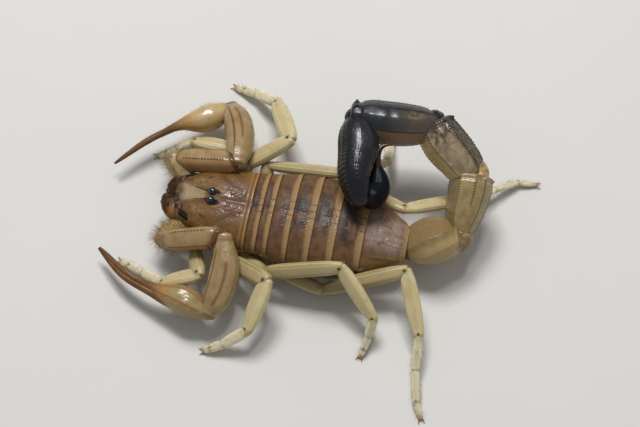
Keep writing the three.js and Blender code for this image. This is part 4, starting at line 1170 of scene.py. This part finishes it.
def arm_part(start, end, kind, sign):
    """A faceted tube, rolled outwards. Its keels are bells at set angles, beaded along the way."""
    half, height, fullness, roll, bows, knots, keels = ARM_PARTS[kind]
    left, femur, patella, trochanter = sign > 0, kind == "femur", kind == "patella", kind == "trochanter"
    roll = np.radians(-roll * sign)
    slim = 0.12 if patella and left else 0.0
    grow = lambda t: through(t, *zip(*knots)) * (1 - slim * smooth(t, 0.34, 0.1))
    inner = [start + (end - start) * t + aside(start, end, -b * (1.0 if left else 0.75), sign)
             for t, b in zip(BOWS_AT, bows)]
    level = unit(np.cross(UP, end - start))
    line = Path([start, *inner, end], up=UP * np.cos(roll) + level * np.sin(roll))

    def keel(g, width, dotted_only=False):
        total = 0
        for on_left, on_right, strength, first, last, dotted in keels:
            dots = 1 - dotted * smooth(np.abs(np.sin(g.s * np.pi / 0.42)), 0.8, 0.35)
            span = between(g.t, first, first + 0.08, last - 0.08, last) * (dotted if dotted_only else 1)
            at = (on_left if left else on_right) * sign
            total = total + strength * dots * span * ridge(g.degrees - at, width)
        return total

    def look(g):
        outer = 0.5 - 0.5 * sign * np.sin(np.radians(g.degrees) + roll)
        rims = ridge(g.s - g.length - 0.1, 0.22) + 0.5 * ridge(g.s, 0.22)
        wedge = ridge(g.s - g.length - 0.1, 0.3 + 0.5 * outer) * femur
        amber = (1.0 if left else 0.45) if femur else 0.15
        return dict(
            relief=0.05 * keel(g, 4.5) + 0.01 * g.grains(0.28, 41) + 0.05 * rims
            - 0.05 * ridge(g.s - g.length + 0.45, 0.2),
            lean=-0.95 * smooth(g.t, 0.7, 1.0) * outer * femur,
            keel=keel(g, 3.8), dots=1.5 * keel(g, 3.8, dotted_only=True),
            # Painted light: the right trochanter, on the lamp's side, is made paler.
            fair=0.75 * (trochanter and not left),
            amber=0.35 * keel(g, 12) + amber * between(-g.degrees, 38, 48, 120, 140) + 0.25 * trochanter,
            rim=(0.75 * rims + 0.9 * wedge) * (0.6 if trochanter else 1.0),
            olive=0.6 * trochanter + patella * smooth(g.degrees * sign, 40, 80))

    return sweep(line, scaled(grow, half, height), look, (0.75 if patella else 0.35, 0.4), blunt=9,
                 fullness=fullness, cell=0.085)


def facets(degrees, corners, flatness):
    """Radius of a polygon with corners on the unit circle: the chord's, blended with 1."""
    ends = np.append(corners, corners[0] + 360)
    turned = np.where(degrees < ends[0], degrees + 360, degrees)
    at = np.clip(np.searchsorted(ends, turned, side="right") - 1, 0, len(ends) - 2)
    half_gap, middle = (ends[at + 1] - ends[at]) / 2, (ends[at + 1] + ends[at]) / 2
    chord = np.cos(np.radians(half_gap)) / np.cos(np.radians(turned - middle))
    return 1 + flatness * (chord - 1)


def hand_surfaces(side_name):
    """The palm with the fixed finger, and the free finger, which starts inside the palm."""
    sign = SIDES[side_name]
    left = sign > 0
    _, _, _, wrist, parting, middle, tip = map(np.array, PALP_JOINTS[side_name])
    spread, lift = FINGER_SPREAD[side_name]
    flatness, keel_share, olive = (0.3, 1.0, 0.6) if left else (0.15, 0.15, 0.2)

    def finger_line(start, at_parting, at_middle):
        """From the hand through three places beside the fingers' common line."""
        places = [(parting, wrist, middle, at_parting), (middle, parting, tip, at_middle),
                  (tip, middle, tip, 0.3 * np.sign(at_middle))]
        return Path([*start, *(point + aside(before, after, which * spread, sign) + UP * which * lift
                               for point, before, after, which in places)])

    def palm_look(g):
        palm = between(g.t, 0.02, 0.08, 0.42, 0.52)
        rows = lambda width: sum(w * ridge(g.degrees - k, width) for k, w in HAND_KEELS.items())
        keel = lambda width: rows(width) * palm * keel_share
        edge = ridge(np.abs(g.degrees) - 90, 20) * smooth(g.t, 0.45, 0.55)
        return dict(
            shape=1 + (facets(g.degrees, list(HAND_KEELS), flatness) - 1) * palm,
            relief=0.035 * keel(6) + 0.02 * edge + 0.06 * ridge(g.s - 0.1, 0.25)
            + left * 0.09 * g.cloud(0.7, 48) * palm,
            # Painted highlight: the right palm, on the lamp's side, is made paler over its whole swelling.
            fair=0.85 * palm * (not left),
            amber=0.75 * keel(7) + smooth(g.t, 0.26, 0.4)
            + 0.6 * smooth(g.degrees, 15, 70) * palm * (not left),
            keel=0.5 * keel(3.6) + smooth(g.t, 0.33, 0.52) * 0.9,
            rim=0.9 * ridge(g.s, 0.25) + smooth(g.t, 0.8, 1.0) * 0.4 + 0.5 * edge,
            dots=ridge(np.abs(g.degrees) - 90, 14) * smooth(g.t, 0.45, 0.6) * 0.5,
            olive=olive * ridge(g.t - 0.2, 0.16) * smooth(g.degrees * sign, -60, 10),
            wet=palm * (0.3 * g.cloud(0.6, 47) if left else 1.0))

    def finger_look(g):
        off = np.abs(g.degrees)
        relief = 0.02 * (ridge(off - 45, 12) + ridge(off - 130, 12))
        return dict(relief=relief, keel=0.8 * ridge(off - 90, 22), palm=0.7 * smooth(g.t, 0.3, 0.02),
                    tip=smooth(g.t, 0.65, 1.0))

    bend = (wrist + parting) / 2 + aside(wrist, parting, 0.35, sign)
    heel = wrist * 0.52 + parting * 0.48 + aside(wrist, parting, -1.05, sign) - UP * 0.15
    hand = sweep(finger_line([wrist, bend], 1.2, 1.0), scaled(HAND_SIZE, 1.04, 0.98), palm_look, (0.25, 0.1),
                 blunt=6, fullness=1.0, cell=0.08)
    finger = sweep(finger_line([heel], -1.6, -1.1), scaled(FINGER_SIZE, 1, 1), finger_look, (0.3, 0.1),
                   fullness=0.92, cell=0.075)
    return hand, finger


def wrinkled(g, lump=0.08, seed=43, pitch=0.5, amber=0.6, low=0.0, high=0.4):
    """Joint skin with soft lumps, amber with brown clouds."""
    return dict(relief=lump * g.cloud(0.5, seed), amber=amber, rim=low + high * g.cloud(pitch, seed + 1))


arms = {}
for side_name, sign in SIDES.items():
    root, trochanter_end, elbow, wrist = map(np.array, PALP_JOINTS[side_name][:4])
    left = sign > 0
    knuckle = trochanter_end + ([0.1, -0.35, -0.3] if left else [-0.5, -0.35, 0.1])
    femur_start = trochanter_end + ([0, 0, 0] if left else [-0.2, 0.6, 0.3])
    elbow_end = elbow + ([0.1, 0.3, 0.05] if left else [0, 0, 0])
    arm = [coxa(mirrored(PALP_COXA_ROOT, sign), root, 1.2, 1.1, olive=True),
           arm_part(root, knuckle, "trochanter", sign), arm_part(femur_start, elbow, "femur", sign),
           arm_part(elbow_end, wrist, "patella", sign)]
    arm += [ball(p, (r, r, r), wrinkled, cell=0.11) for p, r in ((elbow - [0, 0, 0.25], 0.98), (wrist, 0.7))]
    if left:
        darker = lambda g: wrinkled(g, 0.1, 45, 0.4, 0.4, 0.75, 0.25)
        arm.append(ball(elbow + [1.0, -0.2, -0.5], (1.0, 0.8, 0.8), darker))
    arm.append(ball(wrist + [-0.6 * sign, 0.35, 0.5], (0.66, 0.62, 0.6), dict(amber=1)))
    nodes = [f"pedipalp_{side_name}_{part}" for part in ("trochanter", "femur", "patella")]
    make_piece(f"arm_{side_name}", arm, palp_finish, nodes)
    hand, finger = hand_surfaces(side_name)
    arms[side_name] = [*arm, hand]
    make_piece(f"hand_{side_name}", [hand], palp_finish, [f"pedipalp_{side_name}_hand"])
    make_piece(f"finger_{side_name}", [finger], finger_finish, [f"pedipalp_{side_name}_finger"])

# %% [markdown]
# ## Tail
#
# The tail is five stout rings and the bulb with the sting. A ring is a rounded polygon in
# section: its corners carry rows of grains, the keels, and its upper face is a shallow channel.
# The polygon is the straight chord between neighbouring corners of a circle, blended with the
# circle itself. The tail lies on its side, so each ring's row in the table says which way its
# upper face looks. The last ring is cut away above, where the bulb lies.

# %% Tail rings
TAIL_JOINTS = np.array([[0.46, 11.26, 4.2], [-1.5, 17.1, 5.1], [-8.6, 17.4, 7.5],
                        [-13.3, 11.9, 9.8], [-11.9, 2.45, 11.0], [-1.3, 5.1, 10.3]])
# degrees from the middle of the upper face to each row of grains
TOP_KEEL, SIDE_KEEL, LOW_KEEL, UNDER_KEEL = 39, 79, 107, 150
KEELS = np.array([TOP_KEEL, SIDE_KEEL, LOW_KEEL, UNDER_KEEL])
CORNERS = np.concatenate([-KEELS[::-1], KEELS])
# half width and height, the direction its upper face looks in, a twist in degrees, how far the
# middle is pushed away from that direction, the height of its keels, how dark its upper and lower
# ones are, how far its end reaches past the joint, and the size's knots (t, size)
TAIL_RINGS = [
    SimpleNamespace(half=2.95, height=2.8, up=[-0.36, -0.26, 0.9], twist=-38, bow=[-0.1, -0.15], keel=0.04,
                    dark=(0.35, 0.3), past=0.3,
                    knots=[(0, 0.62), (0.15, 0.82), (0.42, 1.0), (0.65, 0.97), (0.88, 0.8), (1, 0.68)]),
    SimpleNamespace(half=2.55, height=2.45, up=[0.09, -0.92, 0.37], twist=0, bow=[0.05, 0.15], keel=0.08,
                    dark=(0.3, 1.0), past=0.3,
                    knots=[(0, 0.5), (0.12, 0.66), (0.35, 0.9), (0.6, 1.0), (0.88, 1.06), (1, 1.0)]),
    SimpleNamespace(half=2.65, height=2.65, up=[0.76, -0.65, 0.02], twist=0, bow=[-0.05, -0.25], keel=0.11,
                    dark=(0.6, 1.0), past=0.35,
                    knots=[(0, 0.7), (0.1, 0.84), (0.35, 0.97), (0.6, 1.03), (0.85, 0.98), (1, 0.86)]),
    SimpleNamespace(half=2.5, height=2.45, up=[0.99, 0.15, 0.04], twist=0, bow=[-0.3, -0.3], keel=0.1,
                    dark=(0.9, 0.9), past=0.7,
                    knots=[(0, 0.7), (0.1, 0.83), (0.35, 1.0), (0.6, 1.03), (0.85, 0.95), (1, 0.74)]),
    SimpleNamespace(half=2.52, height=2.35, up=[-0.32, 0.87, -0.37], twist=0, bow=[-0.22, 0.6], keel=0.05,
                    dark=(0.9, 0.5), past=0.45,
                    knots=[(0, 0.68), (0.08, 0.84), (0.2, 0.98), (0.38, 1.0), (0.6, 0.92), (0.8, 0.79),
                           (1, 0.6)]),
]
LAST_RING_HEIGHT = [(0, 0.68), (0.08, 0.84), (0.2, 0.98), (0.4, 0.99), (0.6, 0.83), (0.8, 0.67), (1, 0.56)]


def tail_ring(index):
    """One ring: polygon section, beaded keels, grains between them, and thick rims at both ends."""
    ring, last = TAIL_RINGS[index], index == 4
    start, end = TAIL_JOINTS[index : index + 2]
    axis = unit(end - start)
    up = unit(np.array(ring.up) - axis * (np.array(ring.up) @ axis))
    inner = [start + (end - start) * t - up * b for t, b in zip(BOWS_AT, ring.bow)]
    grow = profile(*ring.knots)
    rise = profile(*LAST_RING_HEIGHT) if last else grow

    def look(g):
        rolled = (g.degrees + ring.twist * (g.t - 0.5) + 180) % 360 - 180
        side = np.abs(rolled)
        span = between(g.t, 0.04, 0.12, 0.92, 0.98)
        teeth_at = lambda degrees, width: ridge(side - degrees, width)
        row = lambda degrees, width: teeth_at(degrees, width) * span
        bead = smooth(np.abs(np.sin(g.s * np.pi / (0.45 if last else 0.36))), 0.15, 0.85)
        keels = row(TOP_KEEL, 4) + (0.9 if index < 3 else 0.25) * row(LOW_KEEL, 4) + row(UNDER_KEEL, 4)
        half_row = row(SIDE_KEEL, 3.4) * smooth(g.t, 0.45, 0.6) * (index == 1)
        teeth = 0.15 * teeth_at(TOP_KEEL, 5) + 0.36 * teeth_at(LOW_KEEL, 5) + 0.42 * teeth_at(UNDER_KEEL, 6)
        teeth = teeth * ridge(g.s - g.length + 0.52 - ring.past, 0.26) * (0 < index < 4)
        around = round(g.turn / 0.32)
        seeds = grains(g.s, g.around, g.turn / around, 50 + index, wrap=around)
        rough = 0.15 * (index < 2) + 0.9 * smooth(side, 95, 110) * (index == 2) + (0.2 if index < 3 else 0.08)
        rims = ridge(g.s - g.length - 0.05, 0.16) + ridge(g.s - 0.02, 0.16)
        ribs = ridge(side - 163, 9) + 0.2 * ridge(side - 140, 9)
        ribs = ribs * smooth(np.sin(g.s * TURN / 0.45), -0.5, 0.9)
        bumps = g.grains(0.42, 58) * smooth(side, 130, 100) * last
        swell = g.cloud(0.8, 59) * ridge(side - 75, 35) * (index > 2)
        lower = row(LOW_KEEL, 2.6) + row(UNDER_KEEL, 3.0)
        dark = ring.dark[0] * row(TOP_KEEL, 2.4) + ring.dark[1] * lower
        dark = dark * (1.0 if index > 2 else 0.6 + 0.4 * bead)
        tattered = smooth(g.t + 0.3 * g.cloud(0.4, 79), 0.86, 1.04) * smooth(side, 24, 60) * (index == 2)
        outer = smooth(side, 95, 108) if index else smooth(side, 48, 66)
        return dict(
            shape=facets(rolled, CORNERS, 0.6 if index < 3 else 0.3),
            relief=ring.keel * (keels + 0.7 * half_row) * (0.4 + 0.8 * bead) + teeth + 0.06 * rims
            - 0.08 * ridge(g.s - g.length + 0.42, 0.16) + (0.13 * ribs * last + 0.04 * seeds * rough
            + 0.02 * bumps + 0.1 * swell - 0.1 * ridge(side, 22)) * span,
            inner=smooth(side, 41, 35) * (not last),
            wet=(index == 3) * ridge(side - 72, 26) * ridge(g.t - 0.66, 0.26)
            + last * ridge(side - 75, 45) * ridge(g.t - 0.28, 0.2),
            outer=outer * (0.4 * smooth(side, 152, 144) if index == 1 else 1.0),
            keel=dark + 0.9 * tattered,
            dots=(half_row + 0.35 * row(TOP_KEEL, 2)) * bead * (index in (1, 2)),
            rim=rims * (0.8, 0.3 + 0.6 * smooth(side, 80, 110), 0.9, 0.7, 0.6)[index],
            gold=smooth(g.cloud(0.35, 77), 0.3, 0.9) * (
                ridge(g.t - 0.3, 0.16) * ridge(side - 88, 16) * (index == 3)
                + 0.7 * smooth(side, 100, 112) * (index == 2)),
            fade=smooth(g.t, 0.75, 0.2) * (index == 3))

    size = lambda t: (ring.half * grow(t), ring.height * rise(t))
    return sweep(Path([start, *inner, end], up=up), size, look, (0.3, ring.past), blunt=4.2 if last else 12,
                 fullness=0.95 if last else 0.97, cell=0.085)


# for the skin at each ring's start: radius, push outwards, how reddish, how dark, how golden
JOINT_SKINS = [(1.5, 0.0, 0.8, 0.2, 0.0), (1.6, 0.3, 0.6, 0.1, 0.3), (1.7, 0.6, 0.7, 0.1, 0.7),
               (1.5, 0.35, 0.3, 1.0, 0.0), (1.0, 0.3, 0.5, 1.0, 0.0)]
TAIL_FINISHES = [(pale_tail, "tail_pale"), (pale_tail, "tail_pale"), (brown_tail, "tail_brown"),
                 (dark_tail, "tail_dark"), (dark_tail, "tail_dark")]
tail_surfaces = []
for index, (finish, slot_name) in enumerate(TAIL_FINISHES):
    radius, push, red, dark, golden = JOINT_SKINS[index]
    centre = TAIL_JOINTS[index] - unit(np.array(TAIL_RINGS[index].up)) * push
    skin = ball(centre, (radius,) * 3, lambda g: dict(
        relief=0.22 * g.cloud(0.4, 7), rim=red * smooth(g.cloud(0.45, 8), 0.2, 0.9), inner=golden,
        keel=dark * (0.6 + 0.4 * g.cloud(0.5, 9))))
    tail_surfaces.append(tail_ring(index))
    make_piece(f"tail_ring_{index + 1}", [tail_surfaces[-1], skin], finish, [f"tail_{index + 1}"])

# %% [markdown]
# ## Bulb and sting
#
# The bulb holds the venom glands. It is a smooth, slightly grained drop with a short neck, lying
# in the channel of the last ring, and the sting grows from its far end in an even curve. Both are
# sweeps along a bent line.

# %% Bulb and sting
BULB = SimpleNamespace(joints=[[-1.6, 6.05, 9.8], [-4.2, 6.75, 9.0], [-6.6, 6.2, 9.9]], half=1.45,
                       size=profile((0, 0.62), (0.15, 0.9), (0.4, 1.03), (0.7, 0.86), (1, 0.42)))
STING = SimpleNamespace(joints=[[-6.3, 6.25, 9.8], [-7.7, 5.95, 10.5], [-8.8, 6.3, 10.8], [-9.3, 7.5, 11.0]],
                        root=0.56, tip=0.1)


def bulb_look(g):
    off = np.abs(g.degrees)
    furrows = (ridge(off - 95, 7) + ridge(off, 7)) * ridge(g.t - 0.5, 0.3)
    return dict(relief=0.03 * g.grains(0.4, 90) * smooth(off, 60, 120) - 0.05 * furrows, rim=ridge(g.s, 0.3))


bulb = sweep(Path(BULB.joints), scaled(BULB.size, BULB.half, BULB.half), bulb_look, (0.35, 0.35), cell=0.08)
make_piece("bulb", [bulb], bulb_finish, ["telson"])
sting = sweep(Path(STING.joints), lambda t: (STING.root + (STING.tip - STING.root) * t**1.5,) * 2,
              lambda g: dict(tip=smooth(g.t, 0.5, 1.0)), (0.3, 0.05), blunt=4, fullness=1.0, cell=0.055)
make_piece("sting_hook", [sting], sting_finish, ["sting"])

# %% [markdown]
# ## Bristles
#
# Legs, arms and tail carry stiff sense hairs. Each is a thin cone with three sides that leans
# along the limb and curves back. Roots are drawn at random on the grids of the surfaces below,
# more where a grid is larger, and all bristles of a piece are worked out as one array. In the
# flat map a bristle is a tiny patch at its root's place on the skin.

# %% Bristles
BRISTLE_RINGS = np.array([0.0, 0.35, 0.7])  # shares of the length, each with three corners
CONE_EDGES = [(low + k, low + (k + 1) % 3) for low in (0, 3) for k in range(3)]
CONE_FACES = [face for a, b in CONE_EDGES for face in ((a, b, a + 3), (b, b + 3, a + 3))]
CONE_FACES += [(6 + k, 6 + (k + 1) % 3, 9) for k in range(3)] + [(2, 1, 0)]


def bristles(skin, seed, count, length, radius, lean):
    """Cones on one surface: root + length * (t * normal + lean * t^1.5 * along), tapering as 1 - t."""
    random = np.random.default_rng(seed)
    rows, columns = skin.grid.shape[:2]
    ring_size = np.linalg.norm(skin.grid - np.roll(skin.grid, 1, 1), axis=-1).sum(1)
    row = random.choice(rows, count, p=ring_size / ring_size.sum())
    column = random.integers(0, columns, count)
    root, normal, along = (a[row, column] for a in (skin.grid, skin.normals, skin.along))
    scatter = random.normal(0, 0.22, (count, 3))
    long = length * random.uniform(0.55, 1.15, (count, 1, 1))
    thick = radius * random.uniform(0.8, 1.2, (count, 1, 1, 1))
    upright, back = unit(normal + scatter), unit(along + scatter[::-1])
    t = np.append(BRISTLE_RINGS, 1.0)[None, :, None]
    start = root - normal * radius
    line = start[:, None] + long * (t * upright[:, None] + lean * t**1.5 * back[:, None])
    line[..., 2] = np.maximum(line[..., 2], ON_FLOOR)
    first = unit(np.cross(upright, back + [0.01, 0.02, 0.03]))
    second = unit(np.cross(upright, first))
    a = (np.arange(3) / 3 * TURN)[None, :, None]
    circle = first[:, None] * np.cos(a) + second[:, None] * np.sin(a)
    rings = line[:, :-1, None] + circle[:, None] * thick * (1 - BRISTLE_RINGS)[None, :, None, None] ** 0.8
    points = np.concatenate([rings.reshape(count, -1, 3), line[:, -1:]], 1)
    corner, size = skin.spot
    flat = np.stack([column / columns, row / (rows - 1)], 1) * size + corner
    return repeat(points, np.array(CONE_FACES), flat, dict(dusk=random.uniform(0, 1, (count, 1))))


def bristle_piece(name, skins, slot, **how):
    """All bristles of one limb as one mesh. Each skin comes with what is its own."""
    surfaces = [bristles(skin, 100 + k, **{**how, **own}) for k, (skin, own) in enumerate(skins)]
    make_piece(name, surfaces, bristle_finish)


def leg_hair(skin):
    """Slim pieces of a leg are hairier, and their bristles are longer."""
    slim = skin.flat[0] < 3.4
    return {"count": int(skin.flat[1] * (26 if slim else 9)), "length": 0.5 if slim else 0.42}


for side_name in SIDES:
    skins = [(skin, leg_hair(skin)) for number in range(4) for skin in legs[f"leg_{side_name}_{number + 1}"]
             if skin.flat[1] > 1.2 and skin.flat[0] > 1.6]
    bristle_piece(f"leg_bristles_{side_name}", skins, "leg", radius=0.016, lean=0.9)
    arm = arms[side_name]
    trochanter_hair = {"count": 900, "length": 1.3, "lean": 0.35, "radius": 0.013}
    others = [(0, 160, 0.9), (2, 150, 0.5), (3, 140, 0.45), (-1, 220, 0.45)]  # surface, count, length
    skins = [(arm[1], trochanter_hair)] + [(arm[k], {"count": n, "length": long}) for k, n, long in others]
    bristle_piece(f"arm_bristles_{side_name}", skins, "palp", radius=0.016, lean=0.7)
skins = [(skin, {"count": 12 if skin is tail_surfaces[-1] else 110}) for skin in tail_surfaces]
bristle_piece("tail_bristles", skins, "tail_dark", length=0.6, radius=0.016, lean=0.4)

# %% [markdown]
# ## Floor
#
# The model stands on a plain pale floor, which catches its shadow.

# %% Floor
HALF_FLOOR = 2.0  # metres
floor_finish = Finish("pale floor")
soft_patches = floor_finish.noise(30.0)
floor_finish.set(Base_Color=floor_finish.blend(shade(214, 212, 208), shade(220, 218, 214), soft_patches),
                 Roughness=0.8)
floor_mesh = bpy.data.meshes.new("floor")
floor_corners = [(x * HALF_FLOOR, y * HALF_FLOOR, 0) for x, y in ((-1, -1), (1, -1), (1, 1), (-1, 1))]
floor_mesh.from_pydata(floor_corners, [], [(0, 1, 2, 3)])
floor_mesh.materials.append(floor_finish.material)
place_in_scene("floor", floor_mesh)

# %% [markdown]
# ## Light
#
# A broad lamp above and behind gives soft shadows, a smaller one gives the wet-looking glints
# that show how smooth the shell is, and an even sky fills the rest. Together they light a level
# surface so that a colour comes out about as it is written.

# %% Light


def aim(name, data, azimuth, elevation, distance, target):
    """Sets a lamp or camera in a direction from its target, in mm. Azimuth 0 is in front."""
    a, e = np.radians(azimuth), np.radians(elevation)
    back = Vector((np.sin(a) * np.cos(e), -np.cos(a) * np.cos(e), np.sin(e)))
    holder = place_in_scene(name, data)
    holder.location = (Vector(target) + back * distance) * MM
    holder.rotation_mode = "QUATERNION"
    holder.rotation_quaternion = (-back).to_track_quat("-Z", "Y")
    return holder


# name, azimuth, elevation, size in m, power in W
LAMPS = [("broad lamp", -62, 62, 0.14, 1.55), ("glint lamp", -95, 70, 0.06, 0.5)]
for name, azimuth, elevation, size, power in LAMPS:
    light = bpy.data.lights.new(name, "AREA")
    light.size, light.energy = size, power
    aim(name, light, azimuth, elevation, distance=500, target=(0, 0, 5))
world = bpy.data.worlds.new("studio sky")
world.use_nodes = True
sky = world.node_tree.nodes["Background"].inputs
sky["Color"].default_value = (0.97, 0.985, 1.0, 1.0)
sky["Strength"].default_value = 0.3
bpy.context.scene.world = world
bpy.context.scene.view_settings.view_transform = "Standard"

# %% [markdown]
# ## Camera
#
# The camera looks down from the animal's left. A long lens from far off shows near and far legs
# at nearly one scale, as a picture of a small animal does.

# %% Camera
camera_data = bpy.data.cameras.new("camera")
camera_data.lens, camera_data.sensor_width, camera_data.clip_start = 85.0, 36.0, 0.01
camera = aim("camera", camera_data, 101.45, 66.0, distance=182.0, target=(-1.14, 0.33, 5.47))
bpy.context.scene.camera = camera
print("camera at", [round(x, 4) for x in camera.location])

# %% [markdown]
# ## Counts
#
# The last cell prints how many triangles and pieces the model has.

# %% Finish
print("triangles in all:", sum(made_pieces.values()), "pieces:", len(made_pieces))
